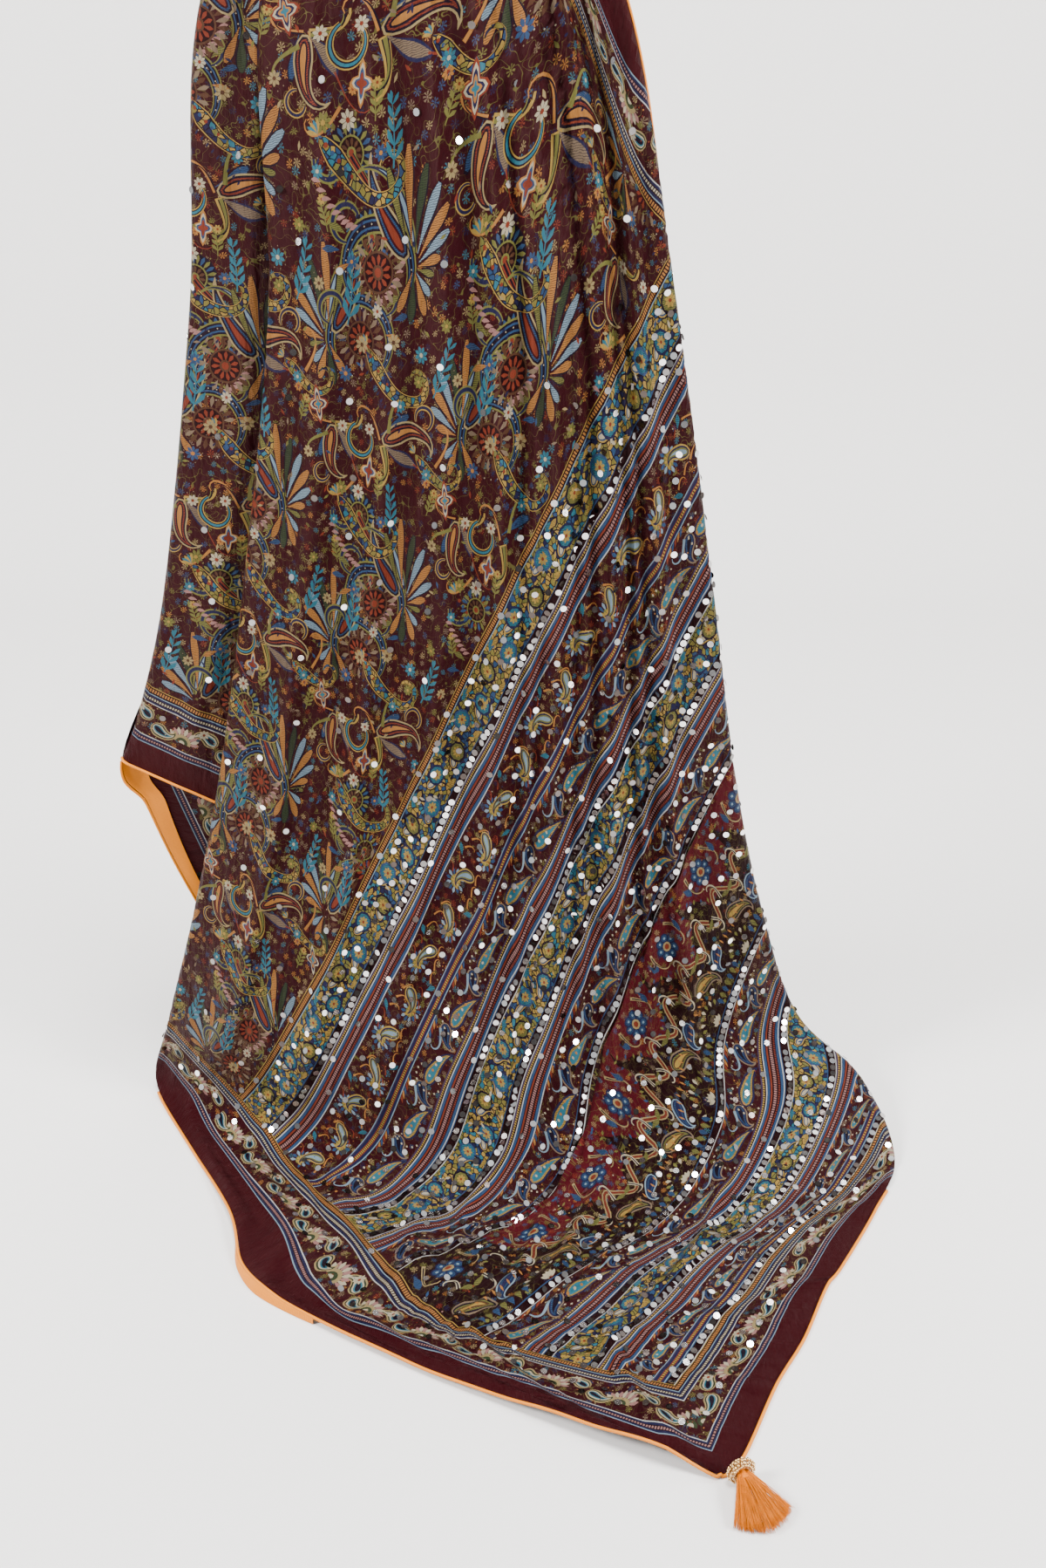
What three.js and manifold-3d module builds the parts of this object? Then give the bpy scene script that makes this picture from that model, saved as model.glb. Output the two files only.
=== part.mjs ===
// A printed saree held up by its long upper edge, with its pallu (the decorated end) falling in front and
// trailing forward over the floor to a tasselled corner. Millimetres, +Z up, the front faces -Y, and the
// origin lies between the layers where they are held. The floor is at -HOLD_HEIGHT.
import * as THREE from 'three';
import Module from 'manifold-3d';
import { mergeVertices } from 'three/addons/utils/BufferGeometryUtils.js';

const HOLD_HEIGHT = 1175; // from the floor to the held edge
const CLOTH = 1.4; // wall of every cloth panel
const GAP = 0.3; // between pieces that meet
const PIPING_RADIUS = 1.4;
const FACING_WIDTH = 13; // the strip turned onto the reverse of the hem
const FACING_WALL = 0.8;
const HEAD_RING_RADIUS = 8; // tassel head: radius of the ring's centre line
const HEAD_TUBE_RADIUS = 4.2;
const TASSEL_LENGTH = 52; // from the head to the strand ends
const STRAND_RADIUS = 0.32;
const STRAND_COLUMNS = 14;
const STRAND_LAYERS = 3;

const FLOOR = -HOLD_HEIGHT;
const LYING = FLOOR + CLOTH / 2; // middle of a cloth wall that lies flat
const BEND = THREE.MathUtils.degToRad(150); // a side edge turned back behind its panel
const QUARTER = Math.PI / 2; // a side edge that meets the next layer
const FLAT = THREE.MathUtils.degToRad(8); // an edge that lies open

const COLOURS = {
  pallu: { color: 0x4f2328, roughness: 0.5 },
  field: { color: 0x551c26, roughness: 0.55 },
  piping: { color: 0xe8a040, roughness: 0.45 },
  head: { color: 0xd8b26a, roughness: 0.3, metalness: 0.8 },
  silk: { color: 0xd98a12, roughness: 0.4 },
};

// ---- Sections of each panel, from the held edge down. Each row is one line across the cloth: its left and
// right ends, how far its middle bows forward and sinks, and its turned edges [length, angle].
function section(left, right, bow, sink, leftTurn, rightTurn) {
  return { left, right, bow, sink, leftTurn, rightTurn };
}

const FRONT = [
  section([-72, -5.7, 0], [60, -5.7, 0], 2, 0, [6, BEND], [5, 1.3]),
  section([-133, -20, -150], [143, -20, -150], 3, 0, [17, BEND], [9, 1.3]),
  section([-142, -20, -375], [190, -20, -375], 7, 0, [18, BEND], [16, BEND]),
  section([-182, -20, -625], [233, -20, -625], 7, 0, [18, BEND], [18, BEND]),
  section([-218, -22, -810], [263, -20, -810], 12, 0, [18, BEND], [18, BEND]),
  section([-255, -27, -960], [298, -13, -960], 42, 0, [18, BEND], [18, BEND]),
  section([-289, -28, -1075], [342, -11, -1085], 86, 0, [16, 2.2], [17, 2.4]),
  section([-312, -14, -1150], [407, -45, -1135], 118, 15, [8, 0.8], [12, 1.4]),
  section([-293, -52, LYING], [426, -129, -1167], 124, 2, [4, FLAT], [6, 0.4]),
  section([-211, -197, LYING], [394, -198, LYING], 79, 0, [4, FLAT], [4, FLAT]),
  section([-185, -274, LYING], [351, -271, LYING], 60, 0, [4, FLAT], [4, FLAT]),
  section([-138, -322, LYING], [333, -297, LYING], 46, 0, [4, FLAT], [4, FLAT]),
  section([-30, -387, LYING], [305, -357, LYING], 21, 0, [4, FLAT], [4, FLAT]),
  section([64, -434, LYING], [275, -407, LYING], 8, 0, [4, FLAT], [4, FLAT]),
  section([169, -484, LYING], [247, -466, LYING], 4, 0, [4, FLAT], [4, FLAT]),
  section([217, -501, LYING], [234, -490, LYING], 2, 0, [2, FLAT], [2, FLAT]),
];

const SIDE = [
  section([-84, 0, 0], [20, 0, 0], 0, 0, [5.6, QUARTER], [3, FLAT]),
  section([-181, 2, -150], [-20, 2, -155], 0, 0, [13, QUARTER], [4, FLAT]),
  section([-210, 2, -378], [-55, 2, -392], 0, 0, [13, QUARTER], [4, FLAT]),
  section([-255, 2, -627], [-100, 2, -670], 0, 0, [13, QUARTER], [4, FLAT]),
  section([-290, 2, -750], [-130, 2, -815], 0, 0, [13, QUARTER], [4, FLAT]),
  section([-312, 2, -802], [-148, 2, -887], 0, 0, [13, QUARTER], [4, FLAT]),
];

const BACK = [
  section([-84, 8, 0], [80, 8, 0], 0, 0, [5.6, QUARTER], [3, FLAT]),
  section([-181, 19.4, -150], [112, 20, -150], 0, 0, [13, QUARTER], [4, FLAT]),
  section([-210, 19.4, -378], [152, 22, -378], 0, 0, [13, QUARTER], [4, FLAT]),
  section([-255, 19.4, -627], [192, 24, -627], 0, 0, [13, QUARTER], [4, FLAT]),
  section([-312, 19.4, -802], [222, 26, -802], 0, 0, [13, QUARTER], [4, FLAT]),
  section([-295, 20, -858], [230, 28, -858], 0, 0, [6, 0.4], [4, FLAT]),
  section([-274, 22, -926], [240, 30, -926], 0, 0, [4, FLAT], [4, FLAT]),
  section([-240, 26, -1020], [256, 34, -1020], 0, 0, [4, FLAT], [4, FLAT]),
  section([-190, 34, FLOOR], [282, 44, FLOOR], 0, 0, [4, FLAT], [4, FLAT]),
];

// ---- Folds: where each ridge starts across the held edge, where it stands at the knee (the section at which
// the cloth leaves its plumb fall), the section where it runs out at the left edge, its half width and height.
function fold(atHold, atKnee, runsOut, halfWidth, height) {
  return { atHold, atKnee, runsOut, halfWidth, height };
}

const FRONT_FOLDS = [
  fold(0.13, 0.1, 9.2, 26, 8),
  fold(0.3, 0.24, 10.6, 30, 9),
  fold(0.47, 0.38, 11.8, 32, 8),
  fold(0.61, 0.5, 12.9, 30, 8),
  fold(0.75, 0.62, 13.8, 32, 9),
  fold(0.87, 0.74, 14.6, 28, 8),
  fold(0.95, 0.86, 20, 26, 8),
];
const SIDE_FOLDS = [fold(0.28, 0.24, 99, 24, 5), fold(0.72, 0.6, 99, 26, 4)];
const BACK_FOLDS = [
  fold(0.15, 0.14, 99, 34, 20),
  fold(0.3, 0.31, 99, 36, 19),
  fold(0.44, 0.43, 99, 33, 21),
  fold(0.58, 0.59, 99, 35, 20),
  fold(0.72, 0.71, 99, 34, 18),
  fold(0.87, 0.88, 99, 33, 20),
];

const hump = (x) => (Math.abs(x) < 1 ? 0.5 + 0.5 * Math.cos(Math.PI * x) : 0);
const ease = (x) => THREE.MathUtils.smoothstep(x, 0, 1);

// A curve through one end of every section, read at a section number.
function edgeCurve(sections, read) {
  const curve = new THREE.CatmullRomCurve3(sections.map(read), false, 'catmullrom', 0.5);
  return (at) => curve.getPoint(THREE.MathUtils.clamp(at / (sections.length - 1), 0, 1));
}

// The middle surface of a panel. `facing` is the side that shows, -1 to the front and +1 to the back. `knee`
// and `landed` are the sections at which the cloth starts to turn and at which it lies on the floor.
function makePanel({ sections, folds, facing, knee, landed }) {
  const left = edgeCurve(sections, (s) => new THREE.Vector3(...s.left));
  const right = edgeCurve(sections, (s) => new THREE.Vector3(...s.right));
  const shape = edgeCurve(sections, (s) => new THREE.Vector3(s.bow, s.sink, 0));
  const leftTurn = edgeCurve(sections, (s) => new THREE.Vector3(...s.leftTurn, 0));
  const rightTurn = edgeCurve(sections, (s) => new THREE.Vector3(...s.rightTurn, 0));
  const last = sections.length - 1;

  // q runs from 0 to 1 between the turned edges; beyond them it counts the share of the turn, to -1 and 2.
  const pointAt = (q, at) => {
    const a = left(at);
    const b = right(at);
    const across = b.clone().sub(a).normalize();
    const lie = ease((at - knee) / (landed - knee)) * QUARTER;
    const out = new THREE.Vector3(0, facing * Math.cos(lie), Math.sin(lie));
    const turnOf = (turn) => ({ radius: turn.x / turn.y, angle: turn.y });
    const [lt, rt] = [turnOf(leftTurn(at)), turnOf(rightTurn(at))];
    const inset = (turn) => turn.radius * Math.sin(Math.min(turn.angle, QUARTER));
    a.addScaledVector(across, inset(lt));
    b.addScaledVector(across, -inset(rt));
    const width = a.distanceTo(b);
    const share = THREE.MathUtils.clamp(q, 0, 1);
    const point = a.clone().lerp(b, share);
    const { x: bow, y: sink } = shape(at);
    const middle = 4 * share * (1 - share);
    point.y -= bow * middle;
    point.z -= sink * middle;
    let height = 0;
    for (const f of folds) {
      const fallen = Math.min(at / knee, 1);
      const past = Math.max((at - knee) / (f.runsOut - knee), 0) ** 1.25;
      const centre = THREE.MathUtils.lerp(f.atHold, f.atKnee, fallen) * (1 - past);
      const reach = (f.halfWidth / Math.max(width, 60)) * (0.6 + 0.4 * ease(at / 2.5));
      height += f.height * hump((share - centre) / reach);
    }
    const strength = ease(at / 1.5) * (1 - (0.45 * lie) / QUARTER) * ease((last + 0.5 - at) / 2.5);
    point.addScaledVector(out, height * strength);
    const over = q < 0 ? -q : q > 1 ? q - 1 : 0;
    if (over > 0) {
      const turn = q < 0 ? lt : rt;
      const angle = turn.angle * over;
      point.addScaledVector(across, Math.sign(q - 0.5) * turn.radius * Math.sin(angle));
      point.addScaledVector(out, -turn.radius * (1 - Math.cos(angle)));
    }
    return point;
  };
  return { pointAt, last };
}

// Rows of points over a panel, `columns` between the turned edges, three more in each turned edge.
function gridOf(panel, columns, rows) {
  const qs = [-1, -2 / 3, -1 / 3];
  for (let i = 0; i <= columns; i += 1) qs.push(i / columns);
  qs.push(4 / 3, 5 / 3, 2);
  const grid = [];
  for (let j = 0; j <= rows; j += 1) grid.push(qs.map((q) => panel.pointAt(q, (panel.last * j) / rows)));
  return grid;
}

// Unit normals of a grid of points, from its neighbours.
function normalsOf(grid) {
  const within = (k, length) => THREE.MathUtils.clamp(k, 0, length - 1);
  const at = (j, i) => grid[within(j, grid.length)][within(i, grid[0].length)];
  return grid.map((row, j) =>
    row.map((_, i) => {
      const along = at(j + 1, i).clone().sub(at(j - 1, i));
      const across = at(j, i + 1).clone().sub(at(j, i - 1));
      return along.cross(across).normalize();
    }),
  );
}

// A closed wall of the given thickness about a grid of points; `shift` moves it along the normals first.
function wallOf(grid, thickness, shift = 0) {
  const normals = normalsOf(grid);
  const [rows, columns] = [grid.length, grid[0].length];
  const positions = [];
  for (const side of [1, -1]) {
    grid.forEach((row, j) =>
      row.forEach((p, i) => {
        const q = p.clone().addScaledVector(normals[j][i], shift + (side * thickness) / 2);
        q.z = Math.max(q.z, FLOOR); // nothing goes below the floor that the hem lies on
        positions.push(q.x, q.y, q.z);
      }),
    );
  }
  const under = rows * columns;
  const index = [];
  const quad = (a, b, c, d) => index.push(a, b, c, a, c, d);
  for (let j = 0; j + 1 < rows; j += 1) {
    for (let i = 0; i + 1 < columns; i += 1) {
      const a = j * columns + i;
      quad(a, a + columns, a + columns + 1, a + 1);
      quad(under + a, under + a + 1, under + a + columns + 1, under + a + columns);
    }
  }
  const rim = [];
  for (let i = 0; i < columns - 1; i += 1) rim.push(i);
  for (let j = 0; j < rows - 1; j += 1) rim.push(j * columns + columns - 1);
  for (let i = columns - 1; i > 0; i -= 1) rim.push((rows - 1) * columns + i);
  for (let j = rows - 1; j > 0; j -= 1) rim.push(j * columns);
  rim.forEach((a, k) => {
    const b = rim[(k + 1) % rim.length];
    quad(a, b, under + b, under + a);
  });
  const geometry = new THREE.BufferGeometry();
  geometry.setAttribute('position', new THREE.Float32BufferAttribute(positions, 3));
  geometry.setIndex(index);
  return geometry;
}

const model = new THREE.Group();
function add(name, geometry, look) {
  const mesh = new THREE.Mesh(geometry, new THREE.MeshStandardMaterial(look));
  mesh.name = name;
  model.add(mesh);
  return mesh;
}

// ---- The three stretches of cloth that show
const front = makePanel({ sections: FRONT, folds: FRONT_FOLDS, facing: -1, knee: 5.2, landed: 8 });
const side = makePanel({ sections: SIDE, folds: SIDE_FOLDS, facing: -1, knee: 99, landed: 100 });
const back = makePanel({ sections: BACK, folds: BACK_FOLDS, facing: 1, knee: 99, landed: 100 });

const frontGrid = gridOf(front, 36, 36);
const sideGrid = gridOf(side, 12, 14);
const backGrid = gridOf(back, 30, 18);
const mirrored = (grid) => grid.map((row) => [...row].reverse()); // so that its normals point to the back

add('front_stretch', wallOf(frontGrid, CLOTH), COLOURS.pallu);
add('side_stretch', wallOf(sideGrid, CLOTH), COLOURS.field);
add('back_stretch', wallOf(mirrored(backGrid), CLOTH), COLOURS.field);

// ---- Piping: a round cord sewn to a free edge, GAP clear of the cloth. `stations` are [row, column] pairs
// on the rim of a grid, in order along the edge with the cloth on their left.
const PIPING_SIDES = 6;
function pipingBeside(grid, stations) {
  const normals = normalsOf(grid);
  const rings = stations.map(([j, i], k) => {
    const before = stations[Math.max(k - 1, 0)];
    const after = stations[Math.min(k + 1, stations.length - 1)];
    const along = grid[after[0]][after[1]].clone().sub(grid[before[0]][before[1]]).normalize();
    const outward = along.clone().cross(normals[j][i]).normalize();
    const centre = grid[j][i].clone().addScaledVector(outward, PIPING_RADIUS + GAP);
    // A ring that would dip below the floor slides back up a steep edge, and lifts where the edge lies flat.
    const steep = Math.abs(along.z) > 0.5;
    const slide = steep ? along.clone().divideScalar(along.z) : new THREE.Vector3(0, 0, 1);
    centre.addScaledVector(slide, Math.max(FLOOR + PIPING_RADIUS - centre.z, 0));
    return { centre, outward, up: along.cross(outward) };
  });
  const positions = [];
  for (const { centre, outward, up } of rings) {
    for (let k = 0; k < PIPING_SIDES; k += 1) {
      const angle = (2 * Math.PI * (k + 0.5)) / PIPING_SIDES;
      const p = centre.clone().addScaledVector(outward, PIPING_RADIUS * Math.cos(angle));
      p.addScaledVector(up, PIPING_RADIUS * Math.sin(angle));
      positions.push(p.x, p.y, Math.max(p.z, FLOOR));
    }
  }
  const index = [];
  const n = PIPING_SIDES;
  for (let r = 0; r + 1 < rings.length; r += 1) {
    for (let k = 0; k < n; k += 1) {
      const [a, b] = [r * n + k, r * n + ((k + 1) % n)];
      index.push(a, b, b + n, a, b + n, a + n);
    }
  }
  const end = (rings.length - 1) * n;
  for (let k = 1; k + 1 < n; k += 1) index.push(0, k + 1, k, end, end + k, end + k + 1);
  const geometry = new THREE.BufferGeometry();
  geometry.setAttribute('position', new THREE.Float32BufferAttribute(positions, 3));
  geometry.setIndex(index);
  return geometry;
}
// The whole numbers from one to another, either way.
function steps(from, to) {
  const way = Math.sign(to - from);
  return Array.from({ length: Math.abs(to - from) + 1 }, (_, k) => from + k * way);
}
const rowAt = (grid, panel, at) => Math.round((at / panel.last) * (grid.length - 1));
const lastOf = (list) => list.length - 1;

const frontEdge = lastOf(frontGrid[0]);
const frontHem = lastOf(frontGrid);
const frontRim = [
  ...steps(rowAt(frontGrid, front, 7.6), frontHem).map((j) => [j, 0]),
  ...steps(3, frontEdge - 3).filter((i) => i % 3 === 0).map((i) => [frontHem, i]),
  ...steps(frontHem, rowAt(frontGrid, front, 8.6)).map((j) => [j, frontEdge]),
];
add('front_piping', pipingBeside(frontGrid, frontRim), COLOURS.piping);
const upperRim = steps(rowAt(frontGrid, front, 1.7), 1).map((j) => [j, frontEdge]);
add('upper_edge_piping', pipingBeside(frontGrid, upperRim), COLOURS.piping);
const backRim = steps(rowAt(backGrid, back, 4.7), lastOf(backGrid)).map((j) => [j, 0]);
add('back_piping', pipingBeside(backGrid, backRim), COLOURS.piping);
const sideRim = steps(2, lastOf(sideGrid[0])).map((i) => [lastOf(sideGrid), i]);
add('side_piping', pipingBeside(sideGrid, sideRim), COLOURS.piping);

// ---- Facings: the orange strip on the reverse of the hem, where it shows
const backFacing = steps(rowAt(backGrid, back, 4.4), lastOf(backGrid) - 1).map((j, k, all) => {
  const row = backGrid[j];
  const share = (FACING_WIDTH / row[3].distanceTo(row[4])) * (1 - (0.8 * k) / lastOf(all));
  return [row[0].clone().lerp(row[1], 0.5), row[2], row[3], row[3].clone().lerp(row[4], share)].reverse();
});
add('back_facing', wallOf(backFacing, FACING_WALL, -(CLOTH / 2 + GAP + FACING_WALL / 2)), COLOURS.piping);

// The hem rolls up for a short way on the floor and shows its facing outside the piping.
const ROLL_FROM = 23; // rows of the front grid
const ROLL_TO = 27;
const ROLL_WIDTH = 5;
const ROLL_STEPS = 4; // to a row
const outerPiping = 2 * PIPING_RADIUS + 2 * GAP;
const rolled = steps(0, (ROLL_TO - ROLL_FROM) * ROLL_STEPS).map((k, _, all) => {
  const row = Math.min(ROLL_FROM + Math.floor(k / ROLL_STEPS), ROLL_TO - 1);
  const [edge, next] = [frontGrid[row][0], frontGrid[row + 1][0]];
  const along = next.clone().sub(edge).setZ(0).normalize();
  const outward = new THREE.Vector3(along.y, -along.x, 0);
  const foot = edge.clone().lerp(next, k / ROLL_STEPS - (row - ROLL_FROM));
  const reach = 1.2 + ROLL_WIDTH * Math.sin((Math.PI * k) / lastOf(all));
  return [0, 0.5, 1].map((share) =>
    foot
      .clone()
      .addScaledVector(outward, outerPiping + reach * share)
      .setZ(THREE.MathUtils.lerp(foot.z, FLOOR + FACING_WALL / 2, share)),
  );
});
add('rolled_facing', wallOf(rolled, FACING_WALL), COLOURS.piping);

// ---- Tassel at the pallu's corner: a beaded ring with a skirt of silk strands through it
const corner = frontGrid[frontHem][Math.round(frontEdge / 2)].clone();
const lead = new THREE.Vector3(0.35, -0.94, 0).normalize(); // the way the tassel points over the floor
const headRadius = HEAD_RING_RADIUS + HEAD_TUBE_RADIUS;
const headCentre = corner.clone().add(new THREE.Vector3(8.2, -2.8, 0)).setZ(FLOOR + headRadius);

const ringSection = [];
for (let k = 0; k <= 10; k += 1) {
  const angle = (2 * Math.PI * k) / 10;
  const reach = HEAD_RING_RADIUS + HEAD_TUBE_RADIUS * Math.cos(angle);
  ringSection.push(new THREE.Vector2(reach, HEAD_TUBE_RADIUS * Math.sin(angle)));
}
const head = add('tassel_head', new THREE.LatheGeometry(ringSection, 24), COLOURS.head);
head.position.copy(headCentre);
head.quaternion.setFromUnitVectors(new THREE.Vector3(0, 1, 0), lead);

const wasm = await Module();
wasm.setup();
function solidOf(geometry) {
  const bare = geometry.clone();
  bare.deleteAttribute('normal');
  bare.deleteAttribute('uv');
  const merged = mergeVertices(bare, 1e-4);
  const vertProperties = merged.attributes.position.array;
  return new wasm.Manifold(new wasm.Mesh({ numProp: 3, vertProperties, triVerts: merged.index.array }));
}

// The skirt in its own frame: strands run along +X from a plug, fanned in Y and sinking in Z.
const PLUG_RADIUS = HEAD_RING_RADIUS - HEAD_TUBE_RADIUS - GAP - 0.2;
const PLUG_LENGTH = 6;
const plug = new THREE.CylinderGeometry(PLUG_RADIUS, PLUG_RADIUS, PLUG_LENGTH, 12).rotateZ(QUARTER);
const THIRD = (2 * Math.PI) / 3;
const skirt = [solidOf(plug)];
const threadCorners = [0, 1, 2].map((k) =>
  new THREE.Vector2(STRAND_RADIUS, 0).rotateAround(new THREE.Vector2(), k * THIRD),
);
const thread = new THREE.Shape(threadCorners);
for (let layer = 0; layer < STRAND_LAYERS; layer += 1) {
  for (let column = 0; column < STRAND_COLUMNS; column += 1) {
    const across = (column + 0.5) / STRAND_COLUMNS - 0.5;
    const up = (layer + 0.5) / STRAND_LAYERS - 0.5;
    const chord = Math.sqrt(Math.max(1 - (2 * up) ** 2, 0.1));
    const fan = across * 1.15;
    const length = TASSEL_LENGTH * (1 - 0.06 * ((column * 7 + layer * 3) % 4));
    const drop = headRadius - 1.6 - 2.1 * layer;
    const root = new THREE.Vector3(0, across * 1.7 * PLUG_RADIUS * chord, up * 1.7 * PLUG_RADIUS);
    const path = new THREE.CubicBezierCurve3(
      root,
      root.clone().setX(HEAD_TUBE_RADIUS + 5),
      new THREE.Vector3(length * 0.6, across * length * 0.6, root.z - drop * 0.5),
      new THREE.Vector3(length * Math.cos(fan), length * Math.sin(fan) + across * 5, -drop),
    );
    const strand = new THREE.ExtrudeGeometry(thread, { steps: 5, bevelEnabled: false, extrudePath: path });
    skirt.push(solidOf(strand));
  }
}
const joined = skirt[0].add(wasm.Manifold.union(skirt.slice(1))).getMesh();
const strands = new THREE.BufferGeometry();
strands.setAttribute('position', new THREE.Float32BufferAttribute(joined.vertProperties, 3));
strands.setIndex(Array.from(joined.triVerts));
const tassel = add('tassel_strands', strands, COLOURS.silk);
tassel.position.copy(headCentre);
tassel.rotation.z = Math.atan2(lead.y, lead.x);

export default model;
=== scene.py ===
import math
import random

import bpy
import numpy as np
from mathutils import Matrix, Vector
from mathutils.bvhtree import BVHTree
from mathutils.geometry import delaunay_2d_cdt


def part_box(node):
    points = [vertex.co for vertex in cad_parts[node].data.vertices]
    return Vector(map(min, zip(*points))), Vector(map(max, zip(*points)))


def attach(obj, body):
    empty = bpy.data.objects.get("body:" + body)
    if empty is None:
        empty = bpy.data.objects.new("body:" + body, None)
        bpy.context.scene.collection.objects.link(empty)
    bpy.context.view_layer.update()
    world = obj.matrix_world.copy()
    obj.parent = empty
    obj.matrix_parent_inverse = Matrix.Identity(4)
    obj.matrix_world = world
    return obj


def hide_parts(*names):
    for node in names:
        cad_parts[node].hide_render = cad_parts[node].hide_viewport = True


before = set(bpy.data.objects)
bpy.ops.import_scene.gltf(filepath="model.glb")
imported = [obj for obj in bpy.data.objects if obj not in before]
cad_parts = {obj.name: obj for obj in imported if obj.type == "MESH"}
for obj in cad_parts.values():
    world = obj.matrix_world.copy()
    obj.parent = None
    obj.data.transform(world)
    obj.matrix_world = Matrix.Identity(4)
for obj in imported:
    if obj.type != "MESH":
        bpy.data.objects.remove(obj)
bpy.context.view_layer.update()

bl_info = {
    "name": "Printed saree with a tasselled pallu",
    "version": (1, 0, 0),
    "blender": (4, 5, 0),
    "location": "3D Viewport > Sidebar > Saree",
    "description": "Builds a printed, sequinned saree held by its long edge, its pallu on the floor",
    "category": "Add Mesh",
}

MM = 0.001  # lengths below are in millimetres unless a name says otherwise


# ---- Settings a user would change ----


class SareeCloth(bpy.types.PropertyGroup):
    """Fineness of the cloth and sizes of its trimmings."""

    drape_step: bpy.props.FloatProperty(
        name="Drape step",
        description="Spacing of the points that follow the folds",
        default=0.0075,
        unit="LENGTH",
    )
    sequin_diameter: bpy.props.FloatProperty(
        name="Sequin diameter", description="Flat mirror sequins", default=0.0061, unit="LENGTH"
    )
    piping_diameter: bpy.props.FloatProperty(
        name="Piping diameter", description="Satin piping round the edges", default=0.0028, unit="LENGTH"
    )


class SareeColours(bpy.types.PropertyGroup):
    """Colours of the trimmings and the floor."""

    piping: bpy.props.FloatVectorProperty(
        name="Piping", description="Satin piping", subtype="COLOR", default=(0.62, 0.17, 0.0)
    )
    silk: bpy.props.FloatVectorProperty(
        name="Tassel silk", description="Floss of the tassel", subtype="COLOR", default=(0.6, 0.15, 0.0)
    )
    beads: bpy.props.FloatVectorProperty(
        name="Tassel beads",
        description="Beads of the tassel's ring",
        subtype="COLOR",
        default=(0.52, 0.27, 0.07),
    )
    floor: bpy.props.FloatVectorProperty(
        name="Floor",
        description="Paper sweep under and behind the saree",
        subtype="COLOR",
        default=(0.78, 0.76, 0.74),
    )


# ---- The drape: sections of each stretch of cloth, from the held edge down ----
# Each row is one line across the cloth: its left and right ends, how far its middle bows forward and sinks,
# its turned edges (length, angle) at the left and right, and where its two ends lie in the flat cut. In the
# flat cut u counts from the pallu's end and v from the hem.

FLOOR = -1175  # the held edge is at z = 0
LYING = FLOOR + 0.7  # middle of the cloth's thickness where it lies on the floor
LEAST_LIFT = 0.4  # of a thin shell over the floor
BEND = math.radians(150)
QUARTER = math.pi / 2
FLAT = math.radians(8)
CLOTH_WIDTH = 1140
PALLU_DEPTH = 720
FIELD_END = 1200  # the front layer shows no more of the cloth beyond this
PAST_THE_EDGE = 60  # margin that takes in the turned edges
TRAIN_CUT = 330  # where the pallu's mesh is cut in two
FIELD_CUT = 900  # where the front field's mesh is cut in two
BACK_CUT = 1180  # where the back layer's mesh is cut in two
FINEST_BEHIND = 8.0  # square millimetres of the smallest shapes printed on the back layer

FRONT = [
    # left end, right end, bow, sink, left turn, right turn, left (u, v), right (u, v)
    [(-72, -5.7, 0), (60, -5.7, 0), 2, 0, (6, BEND), (5, 1.3), (1150, 1140), (1000, 1140)],
    [(-133, -20, -150), (143, -20, -150), 3, 0, (17, BEND), (9, 1.3), (1107, 985), (862, 1140)],
    [(-142, -20, -375), (190, -20, -375), 7, 0, (18, BEND), (16, BEND), (1043, 795), (690, 1020)],
    [(-182, -20, -625), (233, -20, -625), 7, 0, (18, BEND), (18, BEND), (969, 548), (515, 868)],
    [(-218, -22, -810), (263, -20, -810), 12, 0, (18, BEND), (18, BEND), (915, 364), (388, 748)],
    [(-255, -27, -960), (298, -13, -960), 42, 0, (18, BEND), (18, BEND), (870, 212), (282, 650)],
    [(-289, -28, -1075), (342, -11, -1085), 86, 0, (16, 2.2), (17, 2.4), (835, 92), (190, 562)],
    [(-312, -14, -1150), (407, -45, -1135), 118, 15, (8, 0.8), (12, 1.4), (800, 10), (128, 502)],
    [(-293, -52, LYING), (426, -129, -1167), 124, 2, (4, FLAT), (6, 0.4), (752, 0), (45, 425)],
    [(-211, -197, LYING), (394, -198, LYING), 79, 0, (4, FLAT), (4, FLAT), (580, 0), (0, 348)],
    [(-185, -274, LYING), (351, -271, LYING), 60, 0, (4, FLAT), (4, FLAT), (495, 0), (0, 264)],
    [(-138, -322, LYING), (333, -297, LYING), 46, 0, (4, FLAT), (4, FLAT), (420, 0), (0, 232)],
    [(-30, -387, LYING), (305, -357, LYING), 21, 0, (4, FLAT), (4, FLAT), (290, 0), (0, 166)],
    [(64, -434, LYING), (275, -407, LYING), 8, 0, (4, FLAT), (4, FLAT), (184, 0), (0, 107)],
    [(169, -484, LYING), (247, -466, LYING), 4, 0, (4, FLAT), (4, FLAT), (66, 0), (0, 43)],
    [(217, -501, LYING), (234, -490, LYING), 2, 0, (2, FLAT), (2, FLAT), (14, 0), (0, 14)],
]

GATHER = [0, 85, 35] + [0] * 13  # extra width taken up near the right edge of each front section

HEM_TIP = (-312, -802)  # x and z of the hem's corner at the left, where the cloth folds back


def side_flat(x, z):
    """Where a point of the near side layer lies in the flat cut: its hem hangs at 27 degrees."""
    lean = math.radians(27)
    dx, dz = x - HEM_TIP[0], z - HEM_TIP[1]
    return 1120 - dx * math.cos(lean) + dz * math.sin(lean), dx * math.sin(lean) + dz * math.cos(lean)


def back_flat(x, z):
    """Where a point of the far layer lies in the flat cut: its hem leaves the tip 17.5 degrees off plumb."""
    lean = math.radians(17.5)
    dx, dz = x - HEM_TIP[0], z - HEM_TIP[1]
    return 1120 + dx * math.sin(lean) - dz * math.cos(lean), dx * math.cos(lean) + dz * math.sin(lean)


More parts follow.
